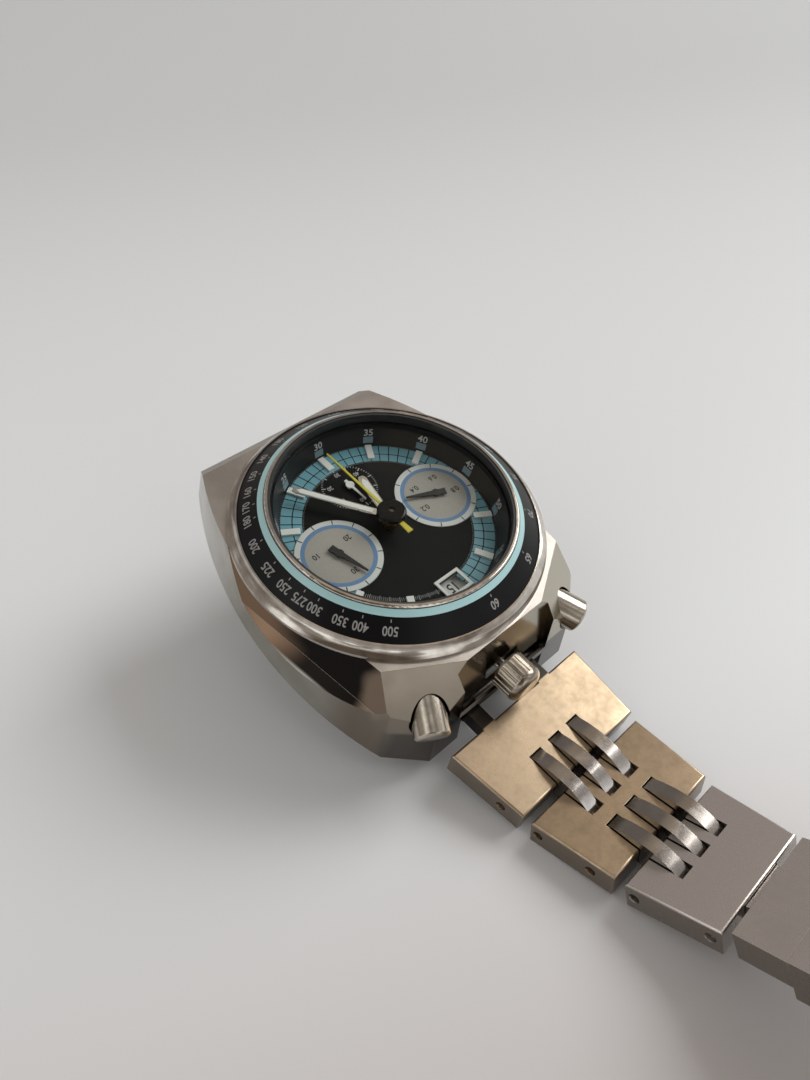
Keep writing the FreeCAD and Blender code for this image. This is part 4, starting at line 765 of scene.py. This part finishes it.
def make_insert_print():
    """Speed scale on the insert's cone: a speed v stands at 360 * 60 / v degrees."""
    slope = -math.tan(insert_slope)
    height, radius = insert_type

    def print_top(at):
        return insert_level(at) + ink

    band = Stock()
    sectors(band, *insert_ring, 0.0, 360, insert_level, print_top, 120)
    band.make("insert_band", pale_blue, "head")
    numbers = Stock()
    for speed in SPEEDS:
        clock = 360.0 * 60.0 / speed
        type_round(numbers, str(speed), height, radius, clock, insert_level(radius), slope,
                   squeeze=0.8)
        sectors(numbers, *insert_tick, clock, 0.4, insert_level, print_top)
    numbers.make("insert_numbers", dim_ink, "head")


make_insert_print()

# ---------------------------------------------------------------- hands


def hand_level(node):
    """Height of a hand's upper face above the dial."""
    points = np.zeros(len(nodes[node].data.vertices) * 3)
    nodes[node].data.vertices.foreach_get("co", points)
    return ((points.reshape(-1, 3) - dial_centre) @ dial_axes.T)[:, 2].max() / MM


def hand_place(clock):
    """Turns an outline that points to 12 o'clock to a clock angle about the dial's centre."""
    turn = math.radians(clock)
    spin = np.array([[math.cos(turn), -math.sin(turn), 0.0],
                     [math.sin(turn), math.cos(turn), 0.0], [0.0, 0.0, 1.0]])
    return lambda points: points @ spin


def make_inlay(name, node, body, clock, start, end, width):
    """The white fill on a baton hand, with a pointed tip."""
    top = hand_level(node)
    half = width / 2
    shoulder = end - width * 0.8
    inlay = Stock()
    prism(inlay, [(-half, start), (half, start), (half, shoulder), (0.0, end), (-half, shoulder)],
          top, top + inlay_thick, hand_place(clock))
    inlay.make(name, white_lacquer, body)


make_inlay("minute_hand_inlay", "minute_hand", "minute_work", minute_clock, 2.2, 11.7, 0.62)
make_inlay("hour_hand_inlay", "hour_hand", "hour_work", hour_clock, 2.0, 6.9, 0.78)
nodes["sub_hand_lower"].data.materials[0] = white_lacquer
nodes["date_frame"].data.materials[0] = white_lacquer

# ---------------------------------------------------------------- floor, light and camera
# Places and directions are in the dial's frame, in millimetres. The sizes of the lamps and of
# the table are in metres.

TABLE_HALF = 2.5
WINDOW_PLACE = (-1600, 110, 1290)
WINDOW_SIZE = (1.20, 1.20)
LAMP_PLACE = (-250, -130, 391)
LAMP_SIZE = (0.21, 0.19)
CAMERA_PLACE = (50.2, 40.7, 77.1)
CAMERA_RIGHT = (-0.723, 0.677, 0.139)
CAMERA_BACK = (0.504, 0.380, 0.776)
CAMERA_LENS = 27.83


def make_floor():
    """A pale table top with a painted shadow: darker and warmer near the watch on its 12 o'clock
    side, cool far away.
    """
    finish = Finish("table_top")
    where = finish.place()
    centre = tuple(dial_centre / MM)
    reach = finish.along(where, (-0.45, -0.89, 0.0), centre)
    offset = finish.node("ShaderNodeVectorMath", {"operation": "SUBTRACT"}, where, centre)
    length = finish.raw("ShaderNodeVectorMath", {"operation": "LENGTH"}, offset)
    away = finish.ramp(Wire(finish, length.outputs["Value"]), 100.0, 210.0)
    # painted shadow round the watch, strongest on its 12 o'clock side
    near = (finish.ramp(reach, -90.0, -8.0) + away).clamped()
    tone = finish.blend(near, (0.59, 0.54, 0.53), (0.85, 0.885, 0.91))
    tone = finish.blend(finish.ramp(reach, 40.0, 260.0), tone, (0.68, 0.71, 0.73))
    paint = finish.done(finish.principled(tone, Roughness=0.45))
    half = TABLE_HALF
    mesh = bpy.data.meshes.new("table_top")
    mesh.from_pydata([(-half, -half, 0), (half, -half, 0), (half, half, 0), (-half, half, 0)], [],
                     [(0, 1, 2, 3)])
    mesh.materials.append(paint)
    floor = bpy.data.objects.new("table_top", mesh)
    scene.collection.objects.link(floor)


def make_light(name, position, target, size, watts, colour):
    """A soft lamp of a size in metres, at a point and aimed at a point of the dial's frame."""
    lamp = bpy.data.lights.new(name, "AREA")
    lamp.shape = "RECTANGLE"
    lamp.size, lamp.size_y = size
    lamp.energy = watts
    lamp.color = colour
    holder = bpy.data.objects.new(name, lamp)
    scene.collection.objects.link(holder)
    stand = Vector(from_dial(position))
    aim = Vector(from_dial(target)) - stand
    holder.matrix_world = Matrix.Translation(stand) \
        @ aim.to_track_quat("-Z", "Y").to_matrix().to_4x4()


class Room(Finish):
    """The world's nodes, made as a finish's are."""

    def __init__(self, name):
        world = bpy.data.worlds.new(name)
        world.use_nodes = True
        scene.world = world
        self.tree = world.node_tree
        self.tree.nodes.clear()
        self.sink = self.tree.nodes.new("ShaderNodeOutputWorld")


def make_world():
    """A pale room: bright round the camera's side, dark right behind it and where the flat tops
    look, warm near the table."""
    room = Room("pale_room")
    way = Wire(room, room.raw("ShaderNodeTexCoord", {}).outputs["Generated"])
    rise = room.along(way, (0.0, 0.0, 1.0))
    front = room.along(way, (0.504, 0.533, 0.680))
    bright = room.ramp(front, 0.20, 0.75)
    behind = room.ramp(front, 0.82, 0.93)
    dim = room.ramp(room.along(way, (-0.49, -0.30, 0.82)), 0.45, 0.85)
    air = room.blend(room.ramp(rise, 0.0, 0.40), (0.24, 0.205, 0.18), (0.50, 0.49, 0.48))
    air = room.blend(bright, air, (1.0, 0.995, 0.98))
    patch = room.ramp(room.noise(way, 2.3, 1.5), 0.47, 0.56) * 0.88
    air = room.blend(patch, air, (0.20, 0.17, 0.145))
    air = room.blend(dim, air, (0.25, 0.225, 0.21))
    air = room.blend(behind, air, (0.11, 0.085, 0.065))
    room.done(room.node("ShaderNodeBackground", {}, air, 1.28))


def make_camera():
    """A near camera over the 12 o'clock end, on the 3 o'clock side."""
    lens = bpy.data.cameras.new("camera")
    lens.sensor_fit = "AUTO"
    lens.sensor_width = 36.0
    lens.lens = CAMERA_LENS
    lens.clip_start = 0.005
    camera = bpy.data.objects.new("camera", lens)
    scene.collection.objects.link(camera)
    right = np.array(CAMERA_RIGHT)
    back = np.array(CAMERA_BACK)
    back /= np.linalg.norm(back)
    right -= back * right.dot(back)
    right /= np.linalg.norm(right)
    upward = np.cross(back, right)
    turn = np.array([right, upward, back]) @ dial_axes
    camera.matrix_world = Matrix.Translation(Vector(from_dial(CAMERA_PLACE))) \
        @ Matrix(turn.tolist()).transposed().to_4x4()
    scene.camera = camera


scene.view_settings.view_transform = "Standard"
make_floor()
make_world()
make_light("window", WINDOW_PLACE, (0, 10, -9), WINDOW_SIZE, 27.0, (1.0, 0.99, 0.98))
make_light("warm_lamp", LAMP_PLACE, (0, 30, -9), LAMP_SIZE, 0.030, (1.0, 0.76, 0.47))
make_camera()
